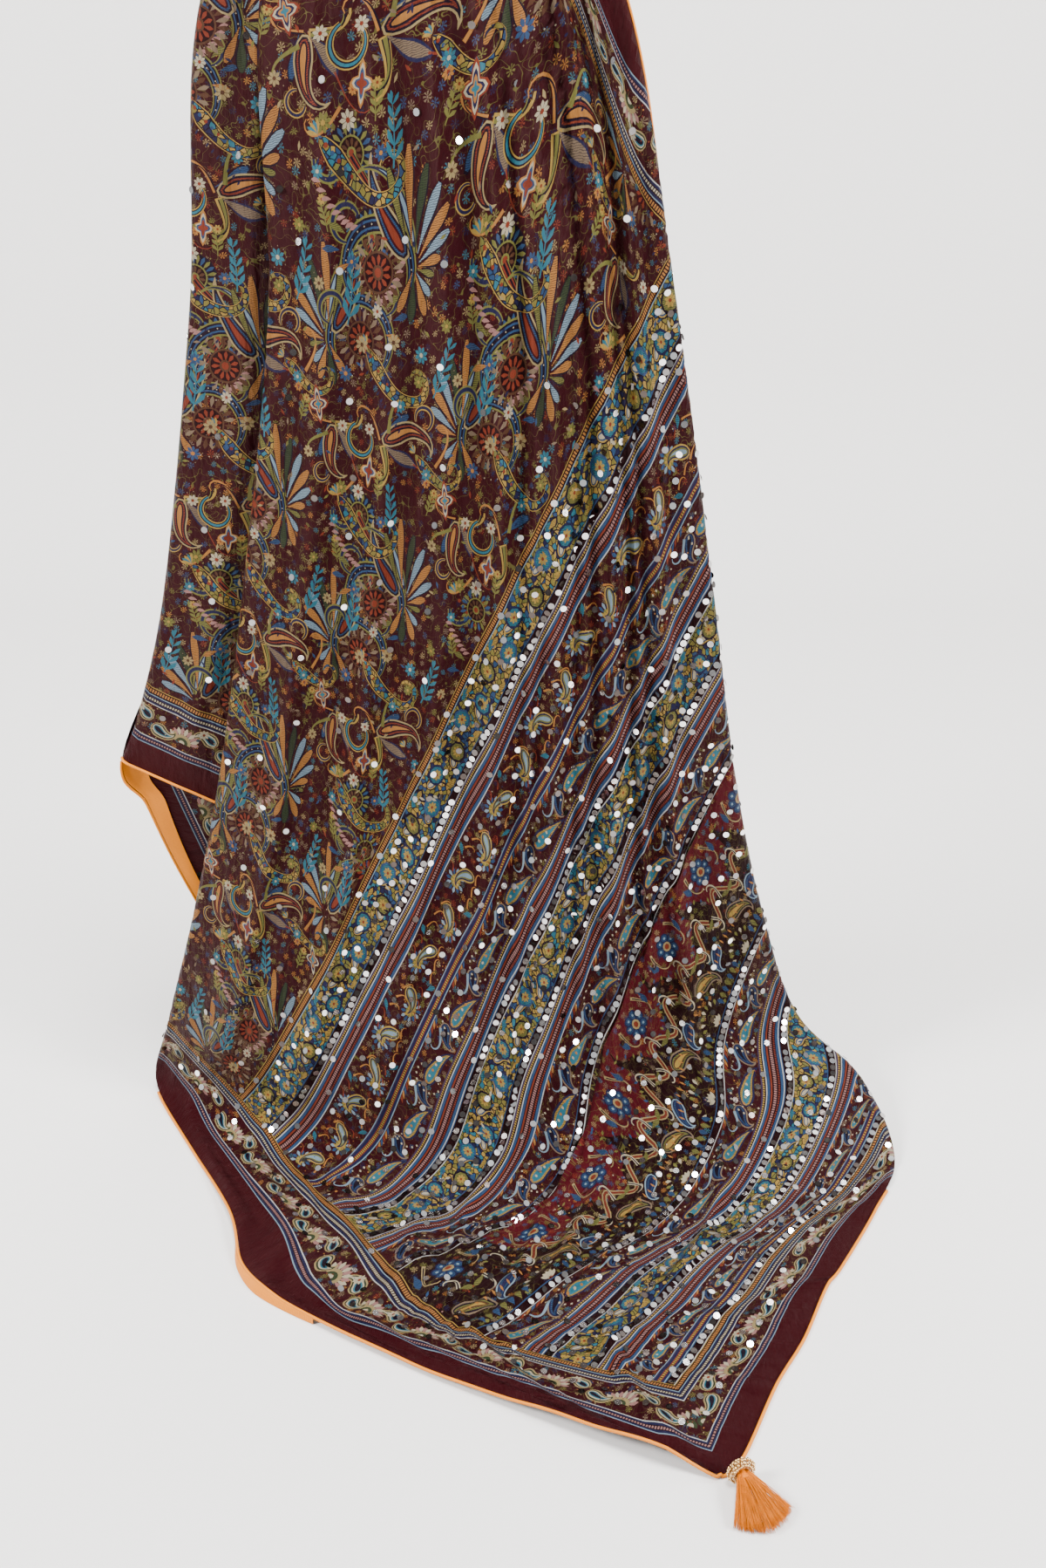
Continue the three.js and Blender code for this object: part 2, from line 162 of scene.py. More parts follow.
def hanging(left, right, left_turn, right_turn, flat):
    """A section of a layer that hangs plumb, placed in the flat cut by a formula."""
    ends = flat(left[0], left[2]), flat(right[0], right[2])
    return [left, right, 0, 0, left_turn, right_turn, *ends]


SIDE = [
    hanging((-84, 0, 0), (20, 0, 0), (5.6, QUARTER), (3, FLAT), side_flat),
    hanging((-181, 2, -150), (-20, 2, -155), (13, QUARTER), (4, FLAT), side_flat),
    hanging((-210, 2, -378), (-55, 2, -392), (13, QUARTER), (4, FLAT), side_flat),
    hanging((-255, 2, -627), (-100, 2, -670), (13, QUARTER), (4, FLAT), side_flat),
    hanging((-290, 2, -750), (-130, 2, -815), (13, QUARTER), (4, FLAT), side_flat),
    hanging((-312, 2, -802), (-148, 2, -887), (13, QUARTER), (4, FLAT), side_flat),
]

BACK = [
    hanging((-84, 8, 0), (80, 8, 0), (5.6, QUARTER), (3, FLAT), back_flat),
    hanging((-178, 19.4, -150), (112, 20, -150), (13, QUARTER), (4, FLAT), back_flat),
    hanging((-204, 19.4, -378), (152, 22, -378), (13, QUARTER), (4, FLAT), back_flat),
    hanging((-239, 19.4, -627), (192, 24, -627), (13, QUARTER), (4, FLAT), back_flat),
    hanging((-312, 19.4, -802), (222, 26, -802), (13, QUARTER), (4, FLAT), back_flat),
    hanging((-295, 20, -858), (230, 28, -858), (6, 0.4), (4, FLAT), back_flat),
    hanging((-274, 22, -926), (240, 30, -926), (4, FLAT), (4, FLAT), back_flat),
    hanging((-240, 26, -1020), (256, 34, -1020), (4, FLAT), (4, FLAT), back_flat),
    hanging((-190, 34, LYING), (282, 44, LYING), (4, FLAT), (4, FLAT), back_flat),
]

NO_END = 99  # a fold that never runs out at the left edge, or a layer that never bends at a knee

# Folds: where each ridge starts across the held edge, where it stands at the knee, the section at which it
# runs out at the left edge, its half width and its height.
FRONT_FOLDS = [
    (0.13, 0.10, 9.2, 26, 11),
    (0.30, 0.24, 10.6, 28, 12),
    (0.41, 0.33, 11.2, 14, 5),
    (0.47, 0.38, 11.8, 27, 10),
    (0.61, 0.50, 12.9, 26, 12),
    (0.69, 0.57, 13.4, 11, 7),
    (0.75, 0.62, 13.8, 27, 12),
    (0.81, 0.68, 14.2, 9, 7),
    (0.87, 0.74, 14.6, 18, 14),
    (0.91, 0.80, 15.2, 8, 7),
    (0.95, 0.86, 20, 15, 12),
]
SIDE_FOLDS = [(0.28, 0.24, NO_END, 22, 6), (0.55, 0.48, NO_END, 12, 3), (0.72, 0.60, NO_END, 24, 5)]
BACK_FOLDS = [
    (0.15, 0.14, NO_END, 34, 20),
    (0.30, 0.31, NO_END, 36, 19),
    (0.44, 0.43, NO_END, 33, 21),
    (0.58, 0.59, NO_END, 35, 20),
    (0.72, 0.71, NO_END, 34, 18),
    (0.87, 0.88, NO_END, 33, 20),
]


def ease(x):
    """Smooth step from 0 to 1."""
    x = np.clip(x, 0, 1)
    return x * x * (3 - 2 * x)


# Columns of a section's numbers, in the order above. A turn is a length, and the cut is the flat cut.
LEFT, RIGHT, LEFT_CUT, RIGHT_CUT = slice(0, 3), slice(3, 6), slice(12, 14), slice(14, 16)
BOW, SINK, LEFT_TURN, LEFT_ANGLE, RIGHT_TURN, RIGHT_ANGLE, GATHERED = 6, 7, 8, 9, 10, 11, 16


class Drape:
    """One stretch of cloth in the air: q runs 0 to 1 between its turned edges, `at` counts its sections."""

    def __init__(self, sections, folds, facing, knee, landed, ripple, gather=None):
        rows = np.array([np.concatenate([np.ravel(cell) for cell in row]) for row in sections], float)
        rows = np.column_stack([rows, gather or [0] * len(sections)])
        above, beneath = 2 * rows[0] - rows[1], 2 * rows[-1] - rows[-2]
        self.rows = np.vstack([above, rows, beneath])
        self.last = len(sections) - 1
        self.folds, self.facing, self.knee, self.landed, self.ripple = folds, facing, knee, landed, ripple

    def row(self, at):
        """All the values of a section, between the given ones on Catmull-Rom curves."""
        at = np.clip(at, 0, self.last)
        i = np.minimum(at.astype(int), self.last - 1)
        t = (at - i)[:, None]
        before, here, ahead, beyond = (self.rows[i + k] for k in range(4))
        enter = (ahead - before) / 2
        leave = (beyond - here) / 2
        t2, t3 = t * t, t * t * t
        first_half = (2 * t3 - 3 * t2 + 1) * here + (t3 - 2 * t2 + t) * enter
        return first_half + (3 * t2 - 2 * t3) * ahead + (t3 - t2) * leave

    def parts(self, q, at):
        """Values that the cloth's place in the air and in the flat cut share."""
        row = self.row(at)
        left_radius = row[:, LEFT_TURN] / row[:, LEFT_ANGLE]
        right_radius = row[:, RIGHT_TURN] / row[:, RIGHT_ANGLE]
        left_inset = left_radius * np.sin(np.minimum(row[:, LEFT_ANGLE], QUARTER))
        right_inset = right_radius * np.sin(np.minimum(row[:, RIGHT_ANGLE], QUARTER))
        share = np.clip(q, 0, 1)
        over = np.where(q < 0, -q, np.maximum(q - 1, 0))
        return row, (left_radius, right_radius), (left_inset, right_inset), share, over

    def place(self, q, at):
        """Points in the air, in millimetres."""
        row, radii, insets, share, over = self.parts(q, at)
        a, b = row[:, LEFT], row[:, RIGHT]
        across = (b - a) / np.linalg.norm(b - a, axis=1)[:, None]
        lie = ease((at - self.knee) / (self.landed - self.knee)) * QUARTER
        out = np.stack([0 * lie, self.facing * np.cos(lie), np.sin(lie)], axis=1)
        a = a + across * insets[0][:, None]
        b = b - across * insets[1][:, None]
        width = np.linalg.norm(b - a, axis=1)
        point = a + (b - a) * share[:, None]
        middle = 4 * share * (1 - share)
        point[:, 1] -= row[:, BOW] * middle
        point[:, 2] -= row[:, SINK] * middle
        across_mm = share * width
        height = self.ripple * (  # three waves of unlike lengths
            np.sin(across_mm / 9.5 + 1.3 * np.sin(at * 0.8))
            + 0.8 * np.sin(across_mm / 15.7 - at * 0.35)
            + 0.42 * np.sin(across_mm / 4.1 + 2.2 * np.sin(at * 1.7) + at)
        )
        past = np.maximum((at - self.knee), 0)
        for at_hold, at_knee, runs_out, half_width, ridge in self.folds:
            shift = (past / max(runs_out - self.knee, 1)) ** 1.25
            above_knee = at_hold + (at_knee - at_hold) * at / self.knee
            centre = np.where(at <= self.knee, above_knee, at_knee * (1 - shift))
            reach = (half_width / np.maximum(width, 60)) * (0.6 + 0.4 * ease(at / 2.5))
            x = np.abs(share - centre) / reach
            height = height + ridge * (0.5 + 0.5 * np.cos(math.pi * np.minimum(x, 1))) ** 1.3
        strength = ease(at / 1.5) * (1 - 0.45 * lie / QUARTER) * ease((self.last + 0.5 - at) / 2.5)
        point += out * (height * strength)[:, None]
        left = q < 0
        radius = np.where(left, radii[0], radii[1])
        angle = np.where(left, row[:, LEFT_ANGLE], row[:, RIGHT_ANGLE]) * over
        point += across * (np.where(left, -1, 1) * radius * np.sin(angle))[:, None]
        point -= out * (radius * (1 - np.cos(angle)))[:, None]
        point[:, 2] = np.maximum(point[:, 2], FLOOR + LEAST_LIFT)
        return point

    def flat(self, q, at):
        """The same points in the flat cut, as (u, v) in millimetres."""
        row, _, insets, share, over = self.parts(q, at)
        start, end = row[:, LEFT_CUT], row[:, RIGHT_CUT]
        span = np.linalg.norm(row[:, RIGHT] - row[:, LEFT], axis=1)
        cut = end - start
        first = start + cut * (insets[0] / span)[:, None]
        final = end - cut * (insets[1] / span)[:, None]
        along = cut / np.linalg.norm(cut, axis=1)[:, None]
        length = np.where(q < 0, -row[:, LEFT_TURN], row[:, RIGHT_TURN]) * over
        gathered = np.maximum(row[:, GATHERED], 0)
        final = final - np.outer(gathered, [0, 1])
        late = ease((share - 0.82) / 0.18)
        within = first + (final - first) * share[:, None] + along * length[:, None]
        return within + np.outer(gathered * late, [0, 1])

    def grid(self, columns, rows):
        """q and `at` over the whole stretch, rows by columns, three columns more in each turned edge."""
        turned = np.array([-1, -2 / 3, -1 / 3])
        q = np.concatenate([turned, np.linspace(0, 1, columns + 1), -turned[::-1] + 1])
        return np.meshgrid(q, np.linspace(0, self.last, rows + 1))

    def locator(self):
        """A search tree over the flat cut, with what turns a hit in it back into q and `at`."""
        q, at = self.grid(60, 10 * self.last)
        rows, columns = q.shape
        uv = self.flat(q.ravel(), at.ravel())
        corner = (np.arange(rows - 1)[:, None] * columns + np.arange(columns - 1)).ravel()
        cells = np.concatenate(
            [
                np.stack([corner, corner + 1, corner + columns + 1], axis=1),
                np.stack([corner, corner + columns + 1, corner + columns], axis=1),
            ]
        )
        tree = BVHTree.FromPolygons([(u, v, 0) for u, v in uv], cells.tolist())
        return tree, cells, uv, np.stack([q.ravel(), at.ravel()], axis=1)

    def find(self, points):
        """q and `at` of points of the flat cut."""
        tree, cells, uv, params = self.locator()
        hits = [tree.find_nearest((u, v, 0)) for u, v in points]
        cell = cells[[hit[2] for hit in hits]]
        point = np.array([hit[0][:2] for hit in hits])
        a, b, c = (uv[cell[:, k]] for k in range(3))
        ab, ac, ap = b - a, c - a, point - a
        area = ab[:, 0] * ac[:, 1] - ab[:, 1] * ac[:, 0]
        area = np.where(np.abs(area) < 1e-9, 1e-9, area)
        s = (ap[:, 0] * ac[:, 1] - ap[:, 1] * ac[:, 0]) / area
        t = (ab[:, 0] * ap[:, 1] - ab[:, 1] * ap[:, 0]) / area
        pa, pb, pc = (params[cell[:, k]] for k in range(3))
        found = pa + (pb - pa) * s[:, None] + (pc - pa) * t[:, None]
        return found[:, 0], found[:, 1]

    def normals(self, q, at):
        """Unit normals on the side that shows."""
        step = 0.004
        across = self.place(q + step, at) - self.place(q - step, at)
        down = self.place(q, np.minimum(at + step, self.last)) - self.place(q, np.maximum(at - step, 0))
        normal = np.cross(down, across)
        return normal / np.maximum(np.linalg.norm(normal, axis=1), 1e-9)[:, None]

    def outline(self, spacing=6):
        """The edge of the stretch in the flat cut, as a closed ring of (u, v)."""
        rows = 12 * self.last
        down, across = np.linspace(0, self.last, rows), np.linspace(-1, 2, 120)
        left = self.flat(-np.ones(rows), down)
        right = self.flat(2 * np.ones(rows), down[::-1])
        hem = self.flat(across, self.last * np.ones(120))
        top = self.flat(across[::-1], np.zeros(120))
        ring = np.vstack([left, hem, right, top])
        kept = [ring[0]]
        for point in ring[1:]:
            if np.linalg.norm(point - kept[-1]) > spacing:
                kept.append(point)
        return np.array(kept)


FRONT_DRAPE = Drape(FRONT, FRONT_FOLDS, -1, 5.2, 8, 1.5, GATHER)
SIDE_DRAPE = Drape(SIDE, SIDE_FOLDS, -1, NO_END, NO_END + 1, 0.9)
BACK_DRAPE = Drape(BACK, BACK_FOLDS, 1, NO_END, NO_END + 1, 0.9)


# ---- Inks of the print ----


INK_DEPTH = 0.33  # dyed silk reflects less than a flat swatch of its colour


def linear(code):
    """An ink from the usual hexadecimal form of its swatch, in linear light."""
    parts = [int(code[k : k + 2], 16) / 255 for k in (0, 2, 4)]
    return tuple(INK_DEPTH * (p / 12.92 if p <= 0.04045 else ((p + 0.055) / 1.055) ** 2.4) for p in parts)


SWATCHES = {
    "ground": "420C17",
    "deep": "22060C",
    "bright": "6E1826",
    "satin": "4B0B16",
    "cream": "F2E2BE",
    "white": "F6F4F0",
    "gold": "DFB65A",
    "straw": "D0B67E",
    "moss": "A99B4C",
    "orange": "E69C50",
    "rust": "A84A32",
    "brown": "6E4A34",
    "taupe": "A78F74",
    "teal": "3C93A8",
    "sky": "A8C6D8",
    "blue": "3B6490",
    "navy": "25305A",
    "ink": "12142A",
    "olive": "98964E",
    "green": "45593A",
    "pink": "D29A92",
    "violet": "54456A",
}
INKS = {name: linear(code) for name, code in SWATCHES.items()}
INK_NAMES = list(INKS)
INK_TABLE = np.array([INKS[name] for name in INK_NAMES])
# Styles of an ink, kept beside its colour in the mesh and read by the silk's shader.
SOLID, MOSAIC, VEINED, DOTS_ALONG_V, DOTS_ALONG_U, FILIGREE = 1.0, 0.875, 0.75, 0.5, 0.25, 0.0


# ---- Drawing on the flat cloth: outlines are complex numbers, x + iy, in millimetres ----


def disc(radius, corners=9):
    """A round spot."""
    return radius * np.exp(2j * math.pi * np.arange(corners) / corners)


def spine(length, bend=0.0, hook=0.0, steps=10):
    """A line from the origin along +x that bends evenly, and hooks harder towards its end."""
    t = (np.arange(steps) + 0.5) / steps
    heading = bend * t + hook * t**3
    return np.concatenate([[0], np.cumsum(np.exp(1j * heading))]) * length / steps


def ribbon(line, half):
    """The outline of a line with the given half widths along it."""
    along = np.gradient(line)
    side = 1j * along / np.abs(along) * half
    return np.concatenate([line + side, (line - side)[::-1]])


def petal(length, width, bend=0.0, steps=6):
    """A leaf or petal, fullest past its middle."""
    t = np.linspace(0.02, 0.98, steps)
    return ribbon(spine(length, bend, 0, steps - 1), width / 2 * np.sin(math.pi * t**1.4) + 0.15)


def plume(length, width, bend=0.0, steps=8):
    """A feather: a thin stem that swells to a rounded tip."""
    t = np.linspace(0, 1, steps)
    half = width / 2 * np.sin(math.pi * np.clip(t, 0.03, 0.97) ** 2.2) ** 0.7 + 0.25
    return ribbon(spine(length, bend, 0, steps - 1), half)


def scroll(length, width, hook, steps=12):
    """A tendril that tapers into a curl."""
    t = np.linspace(0, 1, steps + 1)
    return ribbon(spine(length, 0, hook, steps), width / 2 * (1 - 0.75 * t))


class Stamp:
    """A place on the cloth to draw at, with its own turn, size and handedness."""

    def __init__(self, shapes, place=0j, turn=0.0, size=1.0, mirrored=False):
        self.shapes, self.place, self.turn, self.size, self.mirrored = shapes, place, turn, size, mirrored

    def map(self, z):
        """A point or an outline of this frame, on the cloth."""
        z = np.conj(z) if self.mirrored else z
        return self.place + self.size * np.exp(1j * self.turn) * z

    def at(self, place, turn=0.0, size=1.0, mirrored=False):
        """A stamp placed in this one's own frame."""
        turned = self.turn + (-turn if self.mirrored else turn)
        return Stamp(self.shapes, self.map(place), turned, self.size * size, self.mirrored != mirrored)

    def draw(self, outline, ink, style=SOLID):
        """Adds a shape over those drawn before."""
        self.shapes.append((self.map(outline), INK_NAMES.index(ink), style))


def ring(stamp, count, inner, length, width, inks, start=0.0, span=2 * math.pi):
    """Petals standing round a circle."""
    for k in range(count):
        turn = start + span * (k + 0.5) / count
        stamp.at(inner * np.exp(1j * turn), turn).draw(petal(length, width, 0, 4), inks[k % len(inks)])


def star(stamp, radius, inks):
    """A small eight-petalled flower with a centre."""
    ring(stamp, 8, 0.15 * radius, 0.85 * radius, 0.42 * radius, inks[:1])
    stamp.draw(disc(0.28 * radius, 6), inks[-1])


def paisley(stamp, length, width, hook, inks, veined=()):
    """A drop shape whose tail hooks over, in nested outlines from the outside in."""
    steps = 26
    line = spine(length, 0, hook, steps)
    knots = np.linspace(0, 1, steps + 1)
    for k, ink in enumerate(inks):
        inner = k / len(inks)
        t = np.linspace(0.12 * inner, 1 - 0.45 * inner, 15)
        path = np.interp(t, knots, line.real) + 1j * np.interp(t, knots, line.imag)
        s = np.linspace(0.01, 1, 15)
        rounded = np.sqrt(1 - (1 - np.minimum(s / 0.3, 1)) ** 2)
        tapered = np.clip((1 - s) / 0.7, 0, 1) ** 0.85
        swell = np.minimum(rounded, tapered)
        half = (width / 2) * (1 - 0.88 * inner) * swell + 0.3 * (1 - inner)
        stamp.draw(ribbon(path, half), ink, VEINED if k in veined else SOLID)


def wheel(stamp, radius, inks):
    """A ray wheel: an outer comb of petals, a ring, a rosette and a centre, inked in that order."""
    ring(stamp, 22, 0.6 * radius, 0.42 * radius, 0.16 * radius, inks[:2])
    stamp.draw(disc(0.6 * radius, 20), inks[2])
    stamp.draw(disc(0.53 * radius, 20), "deep")
    ring(stamp, 11, 0.2 * radius, 0.3 * radius, 0.13 * radius, inks[3:])
    stamp.draw(disc(0.22 * radius, 9), inks[2])
    stamp.draw(disc(0.14 * radius, 7), "rust")


def quatrefoil(stamp, radius, inks):
    """A pointed diamond with waisted sides, in nested outlines."""
    angle = np.linspace(0, 2 * math.pi, 25)[:-1]
    reach = 0.62 / (np.abs(np.cos(angle)) + np.abs(np.sin(angle))) + 0.38 * np.cos(2 * angle) ** 2
    shape = reach * (0.72 * np.cos(angle) + 1j * 1.1 * np.sin(angle))
    for k, ink in enumerate(inks):
        stamp.draw(shape * radius * (1 - 0.18 * k), ink)


def fern(stamp, length, fronds, ink):
    """A feather leaf with paired fronds."""
    stamp.draw(ribbon(spine(length, 0.25, 0, 6), np.linspace(0.7, 0.2, 7)), ink)
    for k in range(fronds):
        t = (k + 0.6) / fronds
        size = length * 0.34 * (1 - 0.45 * t)
        for side in (1, -1):
            frond = petal(size, size * 0.3, -0.4 * side, 4)
            stamp.at(length * t * np.exp(0.12j * t), side * 0.75).draw(frond, ink)
    stamp.at(length * 0.97 * np.exp(0.12j), 0.25).draw(petal(length * 0.16, length * 0.06, 0, 4), ink)


def beads_round(stamp, radius, count, ink, size=0.8):
    """Tiny spots round a circle."""
    for k in range(count):
        stamp.at(radius * np.exp(2j * math.pi * k / count)).draw(disc(size, 4), ink)


# ---- Motifs of the field ----


def curl(stamp, radius, start, end, half, inks):
    """A band that curls round a circle and tapers, in nested outlines."""
    angle = np.linspace(start, end, 22)
    line = radius * np.exp(1j * angle)
    t = np.linspace(0, 1, 22)
    for k, ink in enumerate(inks):
        share = 1 - k / len(inks)
        stamp.draw(ribbon(line, half * share * (0.3 + 0.7 * np.sin(math.pi * (0.15 + 0.8 * t)))), ink)


def spray(stamp):
    """The large spray: a paisley curled round a ray wheel, a stemmed second wheel and a fan of plumes."""
    stem = stamp.at(-51 + 72j)
    stem.draw(disc(19, 22), "ink")
    wheel(stem, 18, ["olive", "blue", "olive", "brown"])
    beads_round(stem, 20.5, 16, "olive", 0.8)
    for width, ink in ((8, "olive"), (6.6, "ink"), (4.6, "rust"), (1.8, "ink")):
        stamp.at(-52 + 70j, -0.9).draw(scroll(66, width, 0.35), ink)
    middle = stamp.at(-33 - 1j)
    curl(middle, 31, -0.35, 3.9, 6.2, ["olive", "ink", "blue", "ink"])
    beads_round(middle, 31, 26, "cream", 0.7)
    wheel(middle, 24, ["taupe", "brown", "brown", "rust"])
    paisley(stamp.at(-6 + 6j, 2.2), 74, 17, -0.9, ["straw", "ink", "blue", "ground", "rust"], veined=(2,))
    paisley(stamp.at(2 + 10j, 1.9), 88, 8, 2.4, ["olive", "navy", "sky"], veined=(1,))
    curl(stamp.at(-60 + 30j), 12, 0.4, 4.6, 3, ["olive", "navy"])
    for reach, turn, length, width, ink in [
        (30, 1.95, 40, 6, "olive"),
        (30, 1.68, 48, 7.5, "orange"),
        (27, 1.44, 40, 7, "green"),
        (22, 1.2, 37, 7.5, "sky"),
        (18, 0.95, 34, 8, "orange"),
        (14, 0.68, 28, 7, "sky"),
        (10, 0.36, 18, 7, "orange"),
        (8, -0.1, 13, 5, "olive"),
        (8, -0.75, 16, 6, "sky"),
        (6, -1.15, 27, 8, "orange"),
        (7, -1.6, 30, 8, "green"),
        (7, -2.0, 26, 7, "orange"),
    ]:
        feather = stamp.at(reach * 0.35 * np.exp(1j * turn), turn)
        feather.draw(plume(length + reach * 0.5, width + 1.6, -0.12), "ink")
        feather.at(reach * 0.12).draw(plume(length + reach * 0.36, width - 0.8, -0.12), ink, VEINED)
    for k in range(9):
        spot = -78 + 58j + 3.5 * k - 6.5j * k + 0.35j * k * k
        stamp.at(spot, 2.6 + 0.08 * k).draw(petal(8, 3.2, 0.5, 4), "pink")
    for place, turn, ink in [(-62 + 24j, 2.5, "olive"), (-68 + 14j, 2.9, "blue"), (-60 + 4j, 3.4, "orange")]:
        stamp.at(place, turn).draw(petal(15, 5, 0.2, 5), ink, VEINED)


def winged(stamp):
    """A level paisley with a blue leaf, drooping leaves and a tendril at each end."""
    stamp.at(-30 + 2j, 2.0).draw(scroll(46, 3.4, 3.6), "orange")
    stamp.at(-29 + 2j, 2.0).draw(scroll(42, 1.6, 3.6), "ink")
    stamp.at(-30 + 6j, 0.55).draw(plume(34, 9), "ink")
    stamp.at(-30 + 6j, 0.55).draw(plume(32, 7), "blue", VEINED)
    paisley(stamp.at(-28 + 1j, 0.42), 66, 17, -2.4, ["straw", "ink", "rust", "ink", "orange"], veined=(2,))
    stamp.at(30 - 12j, 1.0).draw(scroll(48, 3, 3.4), "orange")
    stamp.at(-27 - 2j, -1.25).draw(scroll(40, 8, -1.9), "gold")
    stamp.at(-26 - 3j, -1.25).draw(scroll(34, 5, -1.9), "ink")
    stamp.at(-26 - 3j, -1.25).draw(scroll(32, 3, -1.9), "olive")
    stamp.at(-25 - 2j, -0.6).draw(petal(38, 12, 0.5, 8), "navy")
    stamp.at(-25 - 2j, -0.6).draw(petal(36, 8, 0.5, 8), "taupe", VEINED)
    stamp.at(-22 + 8j, 1.5).draw(scroll(40, 4, -2.2), "olive")
    stamp.at(6 - 14j, -0.2).draw(scroll(62, 1.5, -4.2), "rust")
    curl(stamp.at(14 + 24j), 9, -1.0, 3.6, 2.2, ["gold", "navy"])
    star(stamp.at(22 - 26j), 4.5, ["orange", "rust"])


def hooked(stamp):
    """A mosaic paisley that tapers into a tall hook."""
    body = stamp.at(-14 + 26j, -1.05)
    for width, ink in ((15, "gold"), (13, "ink"), (11, "moss")):
        steps = 26
        line = spine(118, 0, 5.4, steps)
        t = np.linspace(0, 1, steps + 1)
        half = width / 2 * np.minimum(np.sqrt(np.minimum(t / 0.16, 1)), (1 - t) ** 0.8 + 0.12)
        body.draw(ribbon(line, half), ink, MOSAIC if ink == "moss" else SOLID)
    for k in range(5):
        spot = (8 + 7 * k) * np.exp(0.02j * k)
        body.at(spot).draw(disc(1.9 - 0.12 * k, 6), ["rust", "blue"][k % 2])
    for k in range(5):
        body.at(-1, 2.4 + 0.36 * k).draw(petal(9, 3, 0, 4), ["gold", "teal"][k % 2])
    for k in range(11):
        body.at(10 + 6.5 * k - (9 - 0.3 * k) * 1j, -1.3).draw(petal(4.5, 1.6, 0, 4), "navy")


def sprig(stamp, ink):
    """A little upright sprig."""
    stamp.draw(ribbon(spine(20, 0.2, 0, 4), np.full(5, 0.45)), "olive")
    for k in range(4):
        for side in (1, -1):
            stamp.at(4 + 4.2 * k, side * 0.8).draw(petal(6.5, 2.4, 0, 4), ink)
    star(stamp.at(21), 3.6, ["gold", "rust"])


FIELD_TILE = (137, 262)  # repeat across and up the print, in its own upright frame
FIELD_ORIGIN, FIELD_TURN = 1140 + 560j, math.radians(153)  # where that frame stands in the flat cut
FLOWER_PLACES = [
    *[(12, 8), (28, 34), (118, 60), (126, 88), (34, 132), (92, 118), (8, 152), (52, 226), (70, 246)],
    *[(132, 182), (110, 250), (20, 206), (72, 4), (96, 26), (4, 66), (44, 12), (128, 140), (82, 176)],
]
FLOWER_INKS = [
    ("straw", "brown"),
    ("cream", "rust"),
    ("teal", "cream"),
    ("olive", "gold"),
    ("blue", "orange"),
]


def field_tile(stamp, chance):
    """One repeat of the field, in a frame whose x runs to the viewer's right and y up the print."""
    spray(stamp.at(62 + 62j, 0.02))
    spray(stamp.at(116 + 208j, 0.05 + math.pi, 0.96, True))
    winged(stamp.at(62 + 196j, -0.05))
    winged(stamp.at(124 + 118j, -1.35, 0.86, True))
    hooked(stamp.at(2 + 122j, 0.12))
    hooked(stamp.at(32 + 246j, 0.1, 0.94))
    hooked(stamp.at(84 + 176j, 0.3, 0.7))
    curl(stamp.at(120 + 232j), 11, 0.0, 4.4, 3, ["olive", "navy"])
    curl(stamp.at(10 + 196j), 13, 2.0, 6.8, 3, ["gold", "ink", "teal"])
    curl(stamp.at(128 + 66j), 12, 3.0, 7.6, 3, ["olive", "navy"])
    quatrefoil(stamp.at(104 + 158j, 0.15), 15, ["rust", "cream", "navy", "orange", "teal"])
    quatrefoil(stamp.at(20 + 172j, -0.1), 13, ["orange", "cream", "blue", "rust"])
    for place, turn, length in [(-2 + 22j, 1.3, 46), (86 + 236j, 1.1, 42), (44 + 122j, 1.5, 38)]:
        fern(stamp.at(place, turn), length, 5, "teal")
    for place, turn in [(30 + 150j, 1.5), (122 + 22j, 1.7), (84 + 142j, 1.2)]:
        sprig(stamp.at(place, turn), "olive")
    for k, (x, y) in enumerate(FLOWER_PLACES):
        star(stamp.at(x + y * 1j, 0.2 * k), 5.2 if k % 3 else 6.6, FLOWER_INKS[k % 5])
        beads_round(stamp.at(x + y * 1j), 8.2, 9, "taupe", 0.6)
    for _ in range(30):
        spot = chance.random() * FIELD_TILE[0] + 1j * chance.random() * FIELD_TILE[1]
        ink = chance.choice(["taupe", "straw", "rust", "navy", "blue", "olive"])
        stamp.at(spot, 6 * chance.random()).draw(petal(6, 2.2, 0.3, 3), ink)


def draw_field(shapes, region, seed):
    """Repeats of the field over a box of the flat cut, each column dropped by a quarter."""
    width, height = FIELD_TILE
    chance = random.Random(seed)
    upright = Stamp(shapes, FIELD_ORIGIN, FIELD_TURN, 1.0, True)
    (low_u, low_v), (high_u, high_v) = region
    reach = 110  # a tile whose middle lies this far outside may still show
    for column in range(-14, 15):
        for row in range(-10, 11):
            corner = column * width + 1j * (row * height - column * 65)
            middle = upright.map(corner + width / 2 + 0.5j * height)
            shows = inside(middle.real, low_u - reach, high_u + reach)
            if shows and inside(middle.imag, low_v - reach, high_v + reach):
                field_tile(upright.at(corner), chance)


# ---- Borders and bands ----
# Stripes and bands are listed from the edge of the cloth inwards.


def stripes(text):
    """Stripes as (width, ink, style), read from their widths and inks and the word dots."""
    parts = [stripe.split() for stripe in text.split(", ")]
    return [(float(part[0]), part[1], DOTS_ALONG_V if "dots" in part else SOLID) for part in parts]


def widths(laid):
    """Total width of stripes."""
    return sum(stripe[0] for stripe in laid)


EDGE_SATIN = 27
OUTER_LINES = stripes("0.9 sky, 1.6 navy, 0.6 deep, 1.8 pink dots, 0.6 deep, 1.7 navy, 0.9 white")
EDGE_FLORAL = 32
INNER_LINES = stripes(
    "0.9 white, 1.9 navy, 0.8 deep, 2.2 cream dots, 0.8 deep, "
    "2.0 navy, 0.9 sky, 1.6 deep, 3.4 orange dots, 1.2 deep, 0.8 gold"
)
BORDER = EDGE_SATIN + widths(OUTER_LINES) + EDGE_FLORAL + widths(INNER_LINES)

